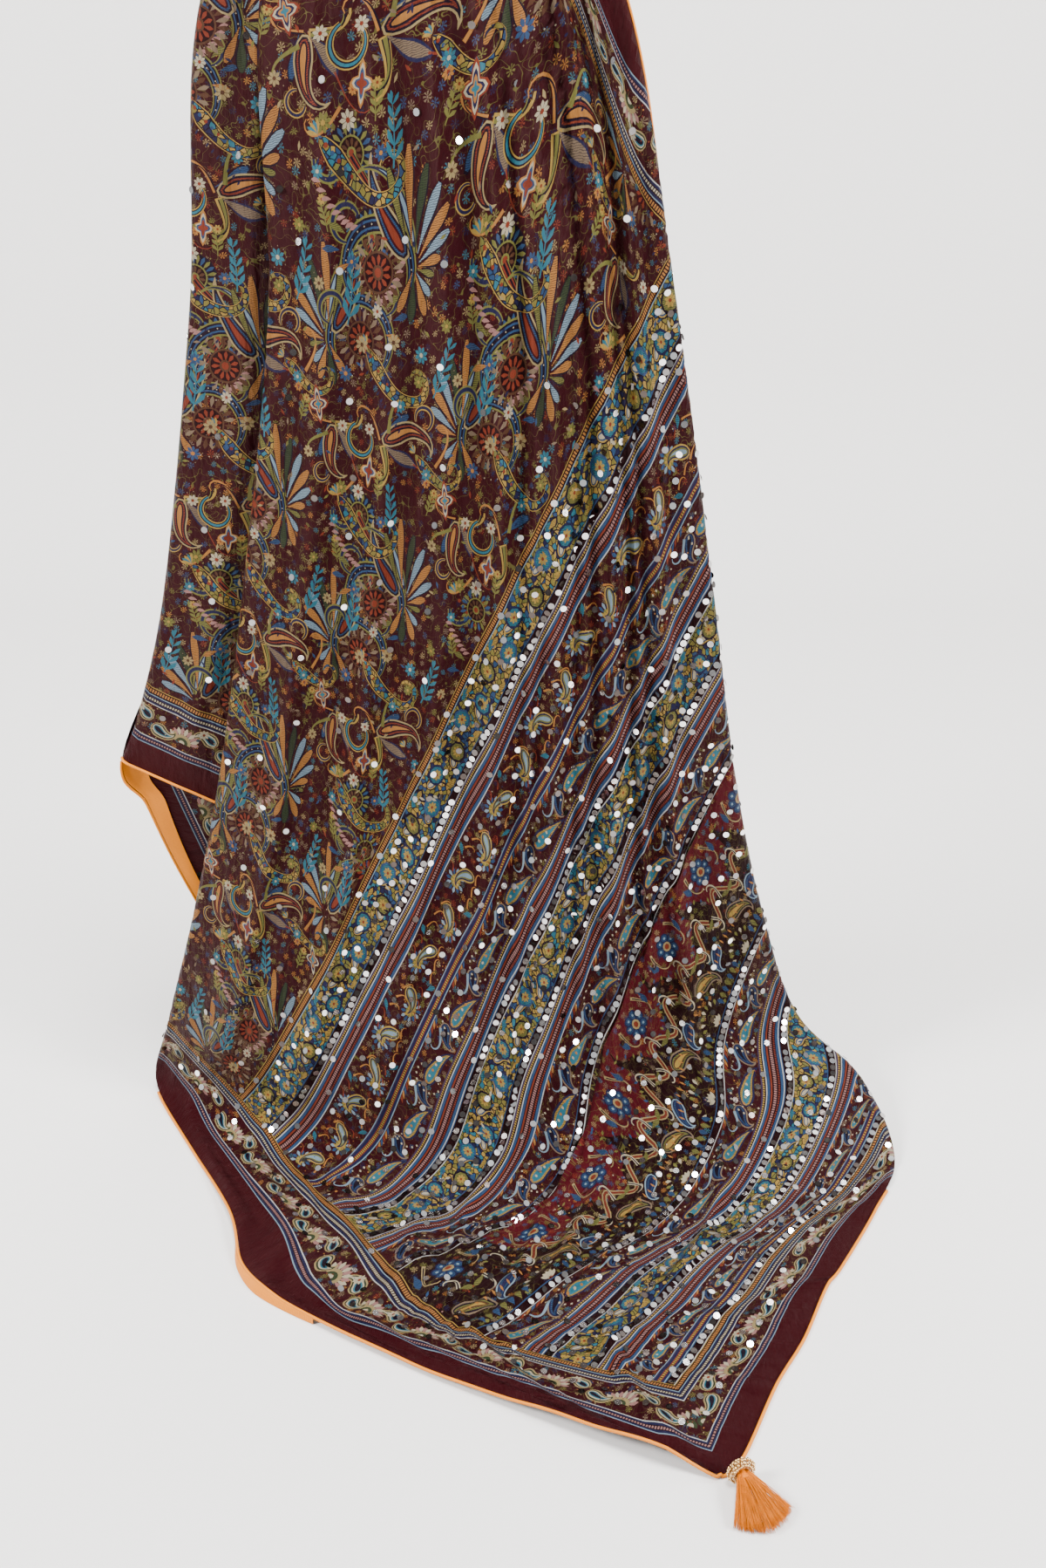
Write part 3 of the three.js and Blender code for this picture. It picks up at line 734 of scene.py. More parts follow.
WIDE_LINES = stripes(
    "1.0 white, 2.6 blue, 0.8 ink, 1.6 rust dots, 1.4 deep, 2.8 pink dots, 1.4 deep, "
    "1.6 rust, 0.7 ink, 2.6 blue, 1.0 white, 1.2 deep, 1.8 gold dots, 1.5 violet"
)
NARROW_LINES = stripes(
    "1.0 sky, 2.4 navy, 0.8 rust, 2.2 gold dots, "
    "0.8 rust, 2.6 navy, 1.0 violet, 0.9 sky"
)
MIRROR_LINES = stripes("0.9 white, 7.4 deep, 0.9 blue")


def plain(width, ink):
    """A band of one ink with filigree, which motifs are drawn over."""
    return [(width, ink, FILIGREE)]


# Each band's name and stripes. Motifs are drawn over a band by its name.
PALLU_BANDS = [
    ("mirrors", MIRROR_LINES),
    ("lines", NARROW_LINES),
    ("paisleys", plain(27, "ground")),
    ("lines", WIDE_LINES),
    ("mirrors", MIRROR_LINES),
    ("gold", [(32, "moss", MOSAIC)]),
    ("mirrors", MIRROR_LINES),
    ("lines", WIDE_LINES),
    ("paisleys", plain(34, "ground")),
    ("mirrors", MIRROR_LINES),
    ("arches", plain(118, "deep")),
    ("mirrors", MIRROR_LINES),
    ("paisleys", plain(34, "ground")),
    ("lines", WIDE_LINES),
    ("mirrors", MIRROR_LINES),
    ("gold", [(33, "moss", MOSAIC)]),
    ("mirrors", MIRROR_LINES),
    ("lines", WIDE_LINES),
    ("paisleys", plain(34, "ground")),
    ("lines", NARROW_LINES),
    ("flowers", plain(46, "ground")),
    ("lines", WIDE_LINES),
    ("mirrors", MIRROR_LINES),
    ("gold", [(36, "moss", MOSAIC)]),
    ("lines", INNER_LINES[-5:]),
]


def stack(bands, start, stretch=1.0):
    """Bands laid side by side from `start`, as (name, from, to, stripes)."""
    laid = []
    for name, lines in bands:
        end = start + widths(lines) * stretch
        laid.append((name, start, end, lines))
        start = end
    return laid


BANDS_DEPTH = sum(widths(lines) for _, lines in PALLU_BANDS)
PALLU = stack(PALLU_BANDS, BORDER, (PALLU_DEPTH - BORDER) / BANDS_DEPTH)
EDGE = stack(
    [
        ("satin", [(EDGE_SATIN, "satin", SOLID)]),
        ("lines", OUTER_LINES),
        ("floral", plain(EDGE_FLORAL, "ground")),
        ("lines", INNER_LINES),
    ],
    0,
)


def stripe_edges(laid):
    """Every stripe of a stack, as (from, to, ink, style)."""
    rows = []
    for _, start, end, lines in laid:
        scale = (end - start) / widths(lines)
        for width, ink, style in lines:
            rows.append((start, start + width * scale, INK_NAMES.index(ink), style))
            start += width * scale
    return rows


EDGE_STRIPES = stripe_edges(EDGE)
PALLU_STRIPES = stripe_edges(PALLU)


def ground_of(u, v, with_pallu):
    """Ink and style of the bare bands at points of the flat cut."""
    ink = np.full(len(u), INK_NAMES.index("ground"))
    style = np.full(len(u), FILIGREE)
    side = np.minimum(v, CLOTH_WIDTH - v)
    if with_pallu:
        for start, end, colour, kind in PALLU_STRIPES:
            hit = (u >= start) & (u < end)
            ink[hit], style[hit] = colour, kind
        inward = np.minimum(side, u)
    else:
        inward = side
    for start, end, colour, kind in EDGE_STRIPES:
        hit = (inward >= start) & (inward < end)
        turned = DOTS_ALONG_U if kind == DOTS_ALONG_V else kind
        ink[hit] = colour
        style[hit] = np.where(side[hit] <= inward[hit], turned, kind)
    outside = inward < 0
    ink[outside], style[outside] = INK_NAMES.index("satin"), SOLID
    return ink, style


def band_frame(shapes, u, v, turn=0.0, size=1.0):
    """A stamp in a band of the pallu: x runs along the band, y towards the pallu's end."""
    return Stamp(shapes, u + v * 1j, QUARTER, 1.0, False).at(0j, turn, size)


def gold_band(shapes, start, end, chance):
    """Rosettes and paisleys in teal, navy and gold over a mosaic ground."""
    middle, half = (start + end) / 2, (end - start) / 2
    for k in range(int(CLOTH_WIDTH / 30)):
        stamp = band_frame(shapes, middle, 30 * k + 6, 0.0, half / 17)
        side = 1 if k % 2 else -1
        rosette = stamp.at(-7 + side * 5j)
        rosette.draw(disc(9.5, 9), ["navy", "ink", "blue"][k % 3])
        rosette.draw(disc(7.6, 8), ["teal", "olive", "teal"][k % 3], VEINED)
        star(rosette, 5, ["gold", "rust"])
        paisley(stamp.at(5 - side * 9j, side * 0.5), 26, 10, side * 2.6, ["ink", "gold", "blue", "cream"])
        stamp.at(8 + side * 12j, side * 0.4).draw(petal(14, 7, 0.4), "navy")
        stamp.at(8 + side * 12j, side * 0.4).draw(petal(12, 5, 0.4), "teal", VEINED)
        stamp.at(-13 - side * 13j, 0.3).draw(petal(13, 6, -0.4), "ink")
        stamp.at(-13 - side * 13j, 0.3).draw(petal(11, 4, -0.4), "gold", VEINED)
        for _ in range(5):
            spot = chance.uniform(-15, 15) + 1j * chance.uniform(-16, 16)
            ink = chance.choice(["gold", "blue", "ink", "cream"])
            stamp.at(spot, chance.random() * 6).draw(petal(6, 2.4, 0, 3), ink)


def paisley_band(shapes, start, end, shift, chance):
    """Large teal paisleys between small navy ones, orange blades and hooked stems."""
    middle, size = (start + end) / 2, (end - start) / 34
    period = 66 * size
    for k in range(int(CLOTH_WIDTH / period) + 1):
        stamp = band_frame(shapes, middle, period * k + shift, 0.0, size)
        inks = ["taupe", "ink", "teal", "navy", "gold", "teal"]
        paisley(stamp.at(-29 + 1j, 0.1), 70, 27, 1.7, inks, veined=(2, 4))
        for j in range(9):
            turn = 1.9 + 0.42 * j
            stamp.at(-18 + 2j + 14 * np.exp(1j * turn)).draw(disc(1.3, 4), "cream")
        for j in range(5):
            stamp.at(-22 + 7 * j + (1 + 0.8 * j) * 1j).draw(disc(1.5, 5), ["orange", "cream"][j % 2])
        stamp.at(-34 - 8j, 2.6).draw(scroll(30, 3, 3.2), "sky")
        stamp.at(20 + 12j, 2.8).draw(scroll(26, 2.4, -3.0), "gold")
        paisley(stamp.at(40 - 5j, 2.7), 30, 14, -2.4, ["taupe", "navy", "blue", "ink"], veined=(2,))
        for j in range(6):
            stamp.at(6 + 5 * j - 13j, -0.6).draw(petal(8, 2.4, 0.3, 3), ["rust", "orange", "blue"][j % 3])
            stamp.at(-24 + 6 * j + 15j, 0.5).draw(petal(7, 2.2, 0.3, 3), ["rust", "pink", "olive"][j % 3])
        for _ in range(8):
            spot = chance.uniform(-34, 34) + 1j * chance.uniform(-16, 16)
            stamp.at(spot).draw(disc(0.9, 4), chance.choice(["rust", "cream", "orange"]))


def flower_band(shapes, start, end, chance):
    """Round flowers and small hooked paisleys with rust squiggles between them."""
    middle, size = (start + end) / 2, (end - start) / 46
    for k in range(int(CLOTH_WIDTH / 46) + 1):
        stamp = band_frame(shapes, middle, 46 * k + 12, 0.0, size)
        side = 1 if k % 2 else -1
        flower = stamp.at(-9 + side * 8j)
        ring(flower, 12, 5, 6.5, 3.2, ["blue", "sky"])
        flower.draw(disc(6, 12), "olive")
        ring(flower, 8, 1.5, 4, 2, ["gold"])
        paisley(stamp.at(10 - side * 7j, side * 2.2), 34, 12, side * 2.8, ["gold", "navy", "olive", "sky"])
        for j in range(3):
            upper = -20 + 13 * j - side * (15 - 2 * j) * 1j
            lower = -16 + 12 * j + side * (17 - 2 * j) * 1j
            stamp.at(upper, 0.5 * side).draw(scroll(15, 1.8, 2.6), "orange")
            stamp.at(lower, -0.4).draw(scroll(12, 1.6, -2.6), "rust")
        stamp.at(16 + side * 14j, 0.7 * side).draw(petal(11, 4.5), "teal", VEINED)
        for _ in range(14):
            spot = chance.uniform(-22, 22) + 1j * chance.uniform(-21, 21)
            stamp.at(spot).draw(disc(0.7, 4), chance.choice(["rust", "orange", "cream", "blue"]))


def arch(stamp):
    """A scalloped arch, petals along it, a cluster of flowers inside and a leaf at each side."""
    angle = np.linspace(0, math.pi, 26)
    reach = 1 + 0.06 * np.cos(angle * 9)
    outline = 42 * reach * np.cos(angle) + 1j * (58 * reach * np.sin(angle) - 57)
    stamp.draw(outline * 1.04, "navy")
    stamp.draw(outline, "bright", FILIGREE)
    for j in range(17):
        turn = math.pi * (j + 0.5) / 17
        spot = 38 * math.cos(turn) + 1j * (53 * math.sin(turn) - 57)
        stamp.at(spot, turn).draw(petal(5, 2.4, 0, 3), ["blue", "olive"][j % 2])
    cluster = stamp.at(-2 - 32j)
    for j in range(7):
        spot = 9 * np.exp(2j * math.pi * j / 7)
        cluster.at(spot).draw(disc(5.2, 9), "navy")
        cluster.at(spot).draw(disc(3.8, 8), "blue", VEINED)
        cluster.at(spot).draw(disc(1.5, 5), "sky")
    cluster.draw(disc(5, 9), "straw")
    cluster.draw(disc(3, 7), "rust")
    for side in (1, -1):
        stamp.at(side * 16 - 48j, QUARTER - side * 0.5).draw(scroll(36, 3.2, side * 2.6), "straw")
        stamp.at(side * 17 - 46j, QUARTER - side * 0.5).draw(scroll(30, 1.2, side * 2.6), "ink")
        stamp.at(side * 26 - 44j, QUARTER).draw(petal(15, 6, 0.2), "blue", VEINED)


def vine(stamp):
    """A twining stem with tendrils and leaves."""
    t = np.linspace(-0.5, 0.5, 30)
    stem = 88 * t + 1j * (2 + 12 * np.sin(2 * math.pi * t * 2))
    stamp.draw(ribbon(stem, np.full(30, 2.4)), "straw")
    stamp.draw(ribbon(stem, np.full(30, 1.2)), "rust", VEINED)
    for x, turn, hook in [(-34, 1.2, 3.4), (-10, -1.2, -3.4), (12, 1.2, 3.4), (34, -1.2, -3.4)]:
        stamp.at(x + 2j, turn).draw(scroll(27, 3.4, hook), "cream")
        stamp.at(x + 2j, turn).draw(scroll(24, 1.4, hook), "ink")
        stamp.at(x + 3j, turn + 1.4).draw(petal(12, 5, 0.4), "olive", VEINED)


def fan(stamp):
    """A half round of nested bands with two combs of petals."""
    half_round = np.exp(1j * np.linspace(math.pi, 2 * math.pi, 14))
    for radius, ink in ((23, "taupe"), (21, "ink"), (18, "brown"), (12, "taupe"), (9, "rust")):
        stamp.draw(radius * half_round, ink, VEINED if ink == "brown" else SOLID)
    ring(stamp, 11, 19, 6, 3.4, ["olive", "cream"], math.pi, math.pi)
    ring(stamp, 7, 2, 7, 3, ["cream"], math.pi, math.pi)


def arch_band(shapes, start, end, chance):
    """The middle of the pallu: arches with twining vines over them, fans and paisleys between."""
    middle, size = (start + end) / 2, (end - start) / 118
    period = 88
    for k in range(int(CLOTH_WIDTH / period) + 1):
        stamp = Stamp(shapes, middle + (period * k + 30) * 1j, QUARTER, size, False)
        arch(stamp)
        vine(stamp)
        inks = ["taupe", "ink", "olive", "brown", "gold"]
        paisley(stamp.at(-26 + 20j, 0.3), 42, 17, 2.2, inks, veined=(2,))
        paisley(stamp.at(30 + 22j, 2.8), 34, 13, -2.4, ["sky", "navy", "blue", "navy"], veined=(2,))
        for side in (1, -1):
            crescent = stamp.at(side * 22 + 36j, QUARTER - side * 0.2)
            crescent.draw(petal(36, 13, side * 1.3, 10), "sky")
            crescent.draw(petal(34, 10.5, side * 1.3, 10), "navy")
            crescent.draw(petal(32, 8.5, side * 1.3, 10), "teal", VEINED)
        fan(stamp.at(44 + 59j))
        for j in range(13):
            stamp.at(-42 + 7 * j + (30 + 2 * math.sin(j)) * 1j, -QUARTER).draw(petal(6, 1.7, 0, 3), "orange")
        for j in range(7):
            stamp.at(-20 + 7 * j + 57j, -QUARTER).draw(petal(10, 5, 0, 5), ["blue", "olive"][j % 2], VEINED)
        for _ in range(16):
            spot = chance.uniform(-44, 44) + 1j * chance.uniform(-52, 52)
            stamp.at(spot).draw(disc(0.9, 4), chance.choice(["rust", "cream", "gold", "pink"]))


def edge_florals(along, place, chance):
    """The border's floral band: S-shaped paisleys between half-round flowers, 64 mm apart."""
    s = EDGE_SATIN + widths(OUTER_LINES) + EDGE_FLORAL / 2
    for k in range(int(along[0] // 64), int(along[1] // 64) + 1):
        stamp = place(64 * k + 20, s)
        for turn in (0, math.pi):
            half = stamp.at(0j, turn + 0.5)
            paisley(half.at(2 + 1j), 30, 14, -3.0, ["straw", "green", "cream", "teal", "ink"], veined=(1,))
        star(stamp.at(16 + 9j), 5, ["cream", "rust"])
        flower = stamp.at(32 - 8j)
        ring(flower, 11, 7.5, 9, 3.6, ["pink", "cream"], 0.1, math.pi - 0.2)
        flower.draw(9 * np.exp(1j * np.linspace(0, math.pi, 10)), "straw")
        flower.draw(6 * np.exp(1j * np.linspace(0, math.pi, 8)), "green")
        flower.draw(3 * np.exp(1j * np.linspace(0, math.pi, 6)), "cream")
        for x, turn in [(-14 + 12j, 0.6), (14 - 12j, 3.6), (44 + 10j, 1.0), (22 + 12j, 2.2)]:
            stamp.at(x, turn).draw(scroll(14, 2.2, 3.6), "violet")
            stamp.at(x, turn).draw(scroll(11, 1.0, 3.6), "cream")
        for _ in range(26):
            spot = chance.uniform(-18, 46) + 1j * chance.uniform(-15, 15)
            stamp.at(spot).draw(disc(0.75, 4), chance.choice(["rust", "orange", "rust", "straw"]))


def along_hem(shapes):
    """Places for the border on the hem (v small)."""
    return lambda along, inward: Stamp(shapes, along + inward * 1j, 0.0, 1.0, False)


def along_upper_edge(shapes):
    """Places for the border on the other long edge."""
    return lambda along, inward: Stamp(shapes, along + (CLOTH_WIDTH - inward) * 1j, 0.0, 1.0, True)


def along_pallu_end(shapes):
    """Places for the border on the pallu's end (u small)."""
    return lambda along, inward: Stamp(shapes, inward + along * 1j, QUARTER, 1.0, True)


def band_motifs(shapes):
    """Every motif of the pallu's own bands."""
    chance = random.Random(11)
    shift = 0
    for name, start, end, _ in PALLU:
        if name == "gold":
            gold_band(shapes, start, end, chance)
        elif name == "paisleys":
            shift += 23
            paisley_band(shapes, start, end, shift % 70, chance)
        elif name == "flowers":
            flower_band(shapes, start, end, chance)
        elif name == "arches":
            arch_band(shapes, start, end, chance)
    return shapes


def clipped(shapes, keep):
    """Shapes whose every corner passes a test of (u, v), so that bands cut the motifs beside them."""
    return [shape for shape in shapes if np.all(keep(shape[0].real, shape[0].imag))]


def inside(values, low, high):
    """Whether values lie between two others."""
    return (values > low) & (values < high)


def within_borders(v):
    """Whether points lie between the borders of the two long edges."""
    return inside(v, BORDER, CLOTH_WIDTH - BORDER)


def hem_shapes(low, high):
    """Border motifs along the hem between two places, kept inside their band."""
    shapes = []
    edge_florals((low, high), along_hem(shapes), random.Random(5))
    first = EDGE_SATIN + widths(OUTER_LINES)
    return clipped(shapes, lambda u, v: inside(v, first, first + EDGE_FLORAL) & inside(u, low, high))


def pallu_shapes():
    """All motifs on the pallu: its bands, and the borders round three sides with mitred corners."""
    bands = band_motifs([])
    chosen = []
    for name, start, end, _ in PALLU:
        if name not in ("lines", "mirrors"):
            chosen += clipped(bands, lambda u, v: within_borders(v) & inside(u, start, end))
    first = EDGE_SATIN + widths(OUTER_LINES)
    band = (first, first + EDGE_FLORAL)
    for place, seed, test in [
        (along_hem, 21, lambda u, v: inside(v, *band) & (u > v)),
        (along_upper_edge, 22, lambda u, v: inside(CLOTH_WIDTH - v, *band) & (u > CLOTH_WIDTH - v)),
        (along_pallu_end, 23, lambda u, v: inside(u, *band) & (v > u) & (CLOTH_WIDTH - v > u)),
    ]:
        shapes = []
        edge_florals((0, CLOTH_WIDTH), place(shapes), random.Random(seed))
        chosen += clipped(shapes, test)
    return chosen


# ---- Turning the flat print into cloth ----


def guide_lines(drape_box, with_pallu, step):
    """Edges of the stripes as chains of points, so that the triangles follow them."""
    (low_u, low_v), (high_u, high_v) = drape_box
    chains = []
    rows = sorted({round(x, 3) for stripe in EDGE_STRIPES for x in stripe[:2] if x > 0})
    for x in rows:
        for v in (x, CLOTH_WIDTH - x):
            if low_v < v < high_v:
                start = max(low_u, x) if with_pallu else low_u
                if start < high_u:
                    count = max(int((high_u - start) / step), 2)
                    chains.append(np.stack([np.linspace(start, high_u, count), np.full(count, v)], axis=1))
        if with_pallu and low_u < x < high_u:
            count = int((min(high_v, CLOTH_WIDTH - x) - max(low_v, x)) / step)
            run = np.linspace(max(low_v, x), min(high_v, CLOTH_WIDTH - x), max(count, 2))
            chains.append(np.stack([np.full(len(run), x), run], axis=1))
    if with_pallu:
        for u in sorted({round(x, 3) for stripe in PALLU_STRIPES for x in stripe[:2]})[1:]:
            low, high = max(low_v, BORDER), min(high_v, CLOTH_WIDTH - BORDER)
            count = max(int((high - low) / step), 2)
            chains.append(np.stack([np.full(count, u), np.linspace(low, high, count)], axis=1))
    return chains


def inside_ring(ring_points, points):
    """Whether points lie inside a closed outline, by winding number."""
    a = ring_points
    b = np.roll(ring_points, -1, axis=0)
    x, y = points[:, 0:1], points[:, 1:2]
    rise = np.where(b[:, 1] == a[:, 1], 1, b[:, 1] - a[:, 1])
    to_the_left = x < a[:, 0] + (y - a[:, 1]) * (b[:, 0] - a[:, 0]) / rise
    upward = (a[:, 1] <= y) & (b[:, 1] > y)
    downward = (a[:, 1] > y) & (b[:, 1] <= y)
    winding = (upward & to_the_left).sum(axis=1) - (downward & to_the_left).sum(axis=1)
    return winding != 0


def signed_area(ring_points):
    """Twice the area of a closed outline, positive if it runs anticlockwise."""
    x, y = ring_points.T
    return np.sum(x * np.roll(y, -1) - y * np.roll(x, -1))


def corners_of(outline):
    """The corners of an outline as rows of (u, v)."""
    return np.stack([outline.real, outline.imag], axis=1)


def shapes_within(shapes, ring_points):
    """The shapes that reach into a region of the flat cut."""
    corners = np.vstack([corners_of(shape[0]) for shape in shapes])
    parts = np.array_split(corners, 1 + len(corners) // 4000)
    hits = np.concatenate([inside_ring(ring_points, part) for part in parts])
    last = np.cumsum([len(shape[0]) for shape in shapes])
    return [shape for shape, end in zip(shapes, last) if hits[end - len(shape[0]) : end].any()]


def paint(shapes, centre, ink, style):
    """Gives every triangle the ink and style of the topmost shape round its centre."""
    cell, columns = 12.0, 1000
    low = centre.min(axis=0)
    where = ((centre - low) // cell).astype(int)
    key = where[:, 0] * columns + where[:, 1]
    order = np.argsort(key)
    key = key[order]
    for outline, colour, kind in shapes:
        corners = corners_of(outline)
        near, far = corners.min(axis=0) - low, corners.max(axis=0) - low
        if far.min() < 0:
            continue
        rows = []
        for column in range(max(int(near[0] // cell), 0), int(far[0] // cell) + 1):
            first = column * columns + max(int(near[1] // cell), 0)
            last = column * columns + int(far[1] // cell)
            rows.append(order[np.searchsorted(key, first) : np.searchsorted(key, last, side="right")])
        candidates = np.concatenate(rows)
        found = candidates[inside_ring(corners, centre[candidates])] if len(candidates) else candidates
        ink[found], style[found] = colour, kind


def flat_triangles(ring_points, shapes, with_pallu, u_range, spacing):
    """Triangles over the flat cut between two values of u, which follow the stripes and the shapes."""
    low, high = ring_points.min(axis=0), ring_points.max(axis=0)
    low[0], high[0] = max(low[0], u_range[0]), min(high[0], u_range[1])
    points, edges = list(ring_points), []

    def chain(run, closed=False):
        first, count = len(points), len(run)
        points.extend(run)
        edges.extend((first + k, first + k + 1) for k in range(count - 1))
        if closed:
            edges.append((first + count - 1, first))

    for run in guide_lines((low, high), with_pallu, spacing):
        chain(run)
    for cut in u_range:
        rows = np.arange(low[1], high[1], spacing)
        chain(np.stack([np.full(len(rows), float(cut)), rows], axis=1))
    for k, v in enumerate(np.arange(low[1], high[1], spacing * 0.9)):
        points.extend((u + (k % 2) * spacing / 2, v) for u in np.arange(low[0], high[0], spacing))
    for outline, _, _ in shapes:
        chain(corners_of(outline), True)
    whole = list(range(len(ring_points)))
    if signed_area(ring_points) < 0:
        whole.reverse()
    points = [Vector(point) for point in points]
    flat, _, triangles, _, _, origins = delaunay_2d_cdt(points, edges, [whole], 0, 0.01)
    uv = np.array([(point.x, point.y) for point in flat])
    triangle = np.array([corners for corners, origin in zip(triangles, origins) if origin])
    middle = uv[triangle].mean(axis=1)[:, 0]
    used, triangle = np.unique(triangle[inside(middle, *u_range)], return_inverse=True)
    return uv[used], triangle.reshape(-1, 3)


def printed_cloth(name, drape, shapes, with_pallu, u_range, step):
    """A mesh of the cloth between two values of u: flat points put in the air, faces inked by the print."""
    ring_points = drape.outline()
    low, high = ring_points.min(axis=0), ring_points.max(axis=0)
    low[0], high[0] = max(low[0], u_range[0]), min(high[0], u_range[1])
    shapes = shapes_within(shapes, np.clip(ring_points, low - 1, high + 1))
    uv, triangle = flat_triangles(ring_points, shapes, with_pallu, u_range, step / MM)
    q, at = drape.find(uv)
    place = drape.place(q, at)
    normal = drape.normals(q, at)
    centre = uv[triangle].mean(axis=1)
    ink, style = ground_of(centre[:, 0], centre[:, 1], with_pallu)
    paint(shapes, centre, ink, style)

    a, b, c = (place[triangle[:, k]] for k in range(3))
    facing = np.einsum("ij,ij->i", np.cross(b - a, c - a), normal[triangle[:, 0]])
    if np.median(np.sign(facing)) < 0:
        triangle = triangle[:, ::-1]
    mesh = bpy.data.meshes.new(name)
    mesh.from_pydata((place * MM).tolist(), [], triangle.tolist())
    mesh.polygons.foreach_set("use_smooth", np.ones(len(triangle), bool))
    corner_uv = uv[triangle.ravel()] * MM
    mesh.uv_layers.new(name="flat").data.foreach_set("uv", corner_uv.ravel())
    colour = np.ones((len(triangle), 3, 4))
    colour[:, :, :3] = INK_TABLE[ink][:, None, :]
    colour[:, :, 3] = style[:, None]
    layer = mesh.color_attributes.new("ink", "FLOAT_COLOR", "CORNER")
    layer.data.foreach_set("color", colour.ravel())
    mesh.normals_split_custom_set_from_vertices(normal.tolist())
    mesh.update()
    piece = bpy.data.objects.new(name, mesh)
    bpy.context.collection.objects.link(piece)
    span = uv[triangle][:, 1:] - uv[triangle][:, :1]
    area = np.abs(span[:, 0, 0] * span[:, 1, 1] - span[:, 0, 1] * span[:, 1, 0]).sum() / 2 * MM * MM
    return piece, uv, area


def declare_sheet(piece, uv, node):
    """Puts a printed piece in the frame: it rides on the root and stands in for a part, which is hidden."""
    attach(piece, "root")
    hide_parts(node)
    size = (uv.max(axis=0) - uv.min(axis=0)) * MM


# ---- Materials ----


class Value:
    """A shader socket that can be used in arithmetic."""

    def __init__(self, shader, socket):
        self.shader, self.socket = shader, socket

    def math(self, operation, *others):
        return self.shader.node("ShaderNodeMath", {"operation": operation}, [self, *others])

    def __add__(self, other):
        return self.math("ADD", other)

    __radd__ = __add__

    def __mul__(self, other):
        return self.math("MULTIPLY", other)

    __rmul__ = __mul__

    def __sub__(self, other):
        return self.math("SUBTRACT", other)

    def __rsub__(self, other):
        return self.shader.node("ShaderNodeMath", {"operation": "SUBTRACT"}, [other, self])

    def __gt__(self, other):
        return self.math("GREATER_THAN", other)

    def __lt__(self, other):
        return self.math("LESS_THAN", other)

    def near(self, target, reach):
        """1 where the value is within reach of a target, else 0."""
        return self.math("COMPARE", target, reach)

    def fraction(self):
        return self.math("FRACT")

    def sine(self):
        return self.math("SINE")


class Finish:
    """A material built from one Principled shader."""

    def __init__(self, name, **constants):
        self.material = bpy.data.materials.new(name)
        self.material.use_nodes = True
        self.tree = self.material.node_tree
        self.shader = self.tree.nodes["Principled BSDF"]
        for socket, value in constants.items():
            self.shader.inputs[socket.replace("_", " ")].default_value = value

    def node(self, kind, settings=None, inputs=(), output=0):
        """Adds a node: its settings first, then its sockets by place or by name; gives one output.

        Stops are a setting of a colour ramp, which then steps from one to the next.
        """
        node = self.tree.nodes.new(kind)
        for key, value in (settings or {}).items():
            if key == "stops":
                ramp = node.color_ramp
                ramp.interpolation = "CONSTANT"
                while len(ramp.elements) < len(value):
                    ramp.elements.new(1.0)
                for element, (place, colour) in zip(ramp.elements, value):
                    element.position, element.color = place, colour
            else:
                setattr(node, key, value)
        pairs = inputs.items() if isinstance(inputs, dict) else enumerate(inputs)
        for key, value in pairs:
            self.join(node.inputs[key], value)
        return Value(self, node.outputs[output])

    def join(self, socket, value):
        """Links a socket to a value of the tree, or sets it."""
        if isinstance(value, Value):
            self.tree.links.new(value.socket, socket)
        else:
            socket.default_value = value

    def blend(self, factor, first, second, mode="MIX"):
        """Mixes two colours."""
        settings = {"data_type": "RGBA", "blend_type": mode}
        return self.node("ShaderNodeMix", settings, {0: factor, 6: first, 7: second}, 2)

    def scaled(self, vector, factors):
        """A vector times another, axis by axis."""
        return self.node("ShaderNodeVectorMath", {"operation": "MULTIPLY"}, [vector, factors])

    def noise(self, vector, scale, detail=3.0, roughness=0.55):
        """Noise from 0 to 1."""
        inputs = {"Vector": vector, "Scale": scale, "Detail": detail, "Roughness": roughness}
        return self.node("ShaderNodeTexNoise", None, inputs)

    def noise_colour(self, vector, scale):
        """Noise with three unlike channels."""
        return self.node("ShaderNodeTexNoise", None, {"Vector": vector, "Scale": scale}, "Color")

    def voronoi(self, inputs, output, feature="F1"):
        """One output of flat cells."""
        settings = {"voronoi_dimensions": "2D", "feature": feature}
        return self.node("ShaderNodeTexVoronoi", settings, inputs, output)

    def ramp(self, value, inks):
        """Steps through inks as a value runs from 0 to 1."""
        stops = [(k / len(inks), rgba(INKS[ink])) for k, ink in enumerate(inks)]
        return self.node("ShaderNodeValToRGB", {"stops": stops}, [value])

    def bump(self, height, strength, distance):
        """Makes the surface rise and fall with a height."""
        inputs = {"Strength": strength, "Distance": distance, "Height": height}
        self.feed("Normal", self.node("ShaderNodeBump", None, inputs))

    def feed(self, socket, value):
        """Sets an input of the Principled shader."""
        self.join(self.shader.inputs[socket], value)


def rgba(colour):
    """A colour with full alpha."""
    return (*colour, 1.0)


PLUMB = (0.454, 0.891)  # the way the cloth hangs, in its flat cut: cosine and sine of 63 degrees


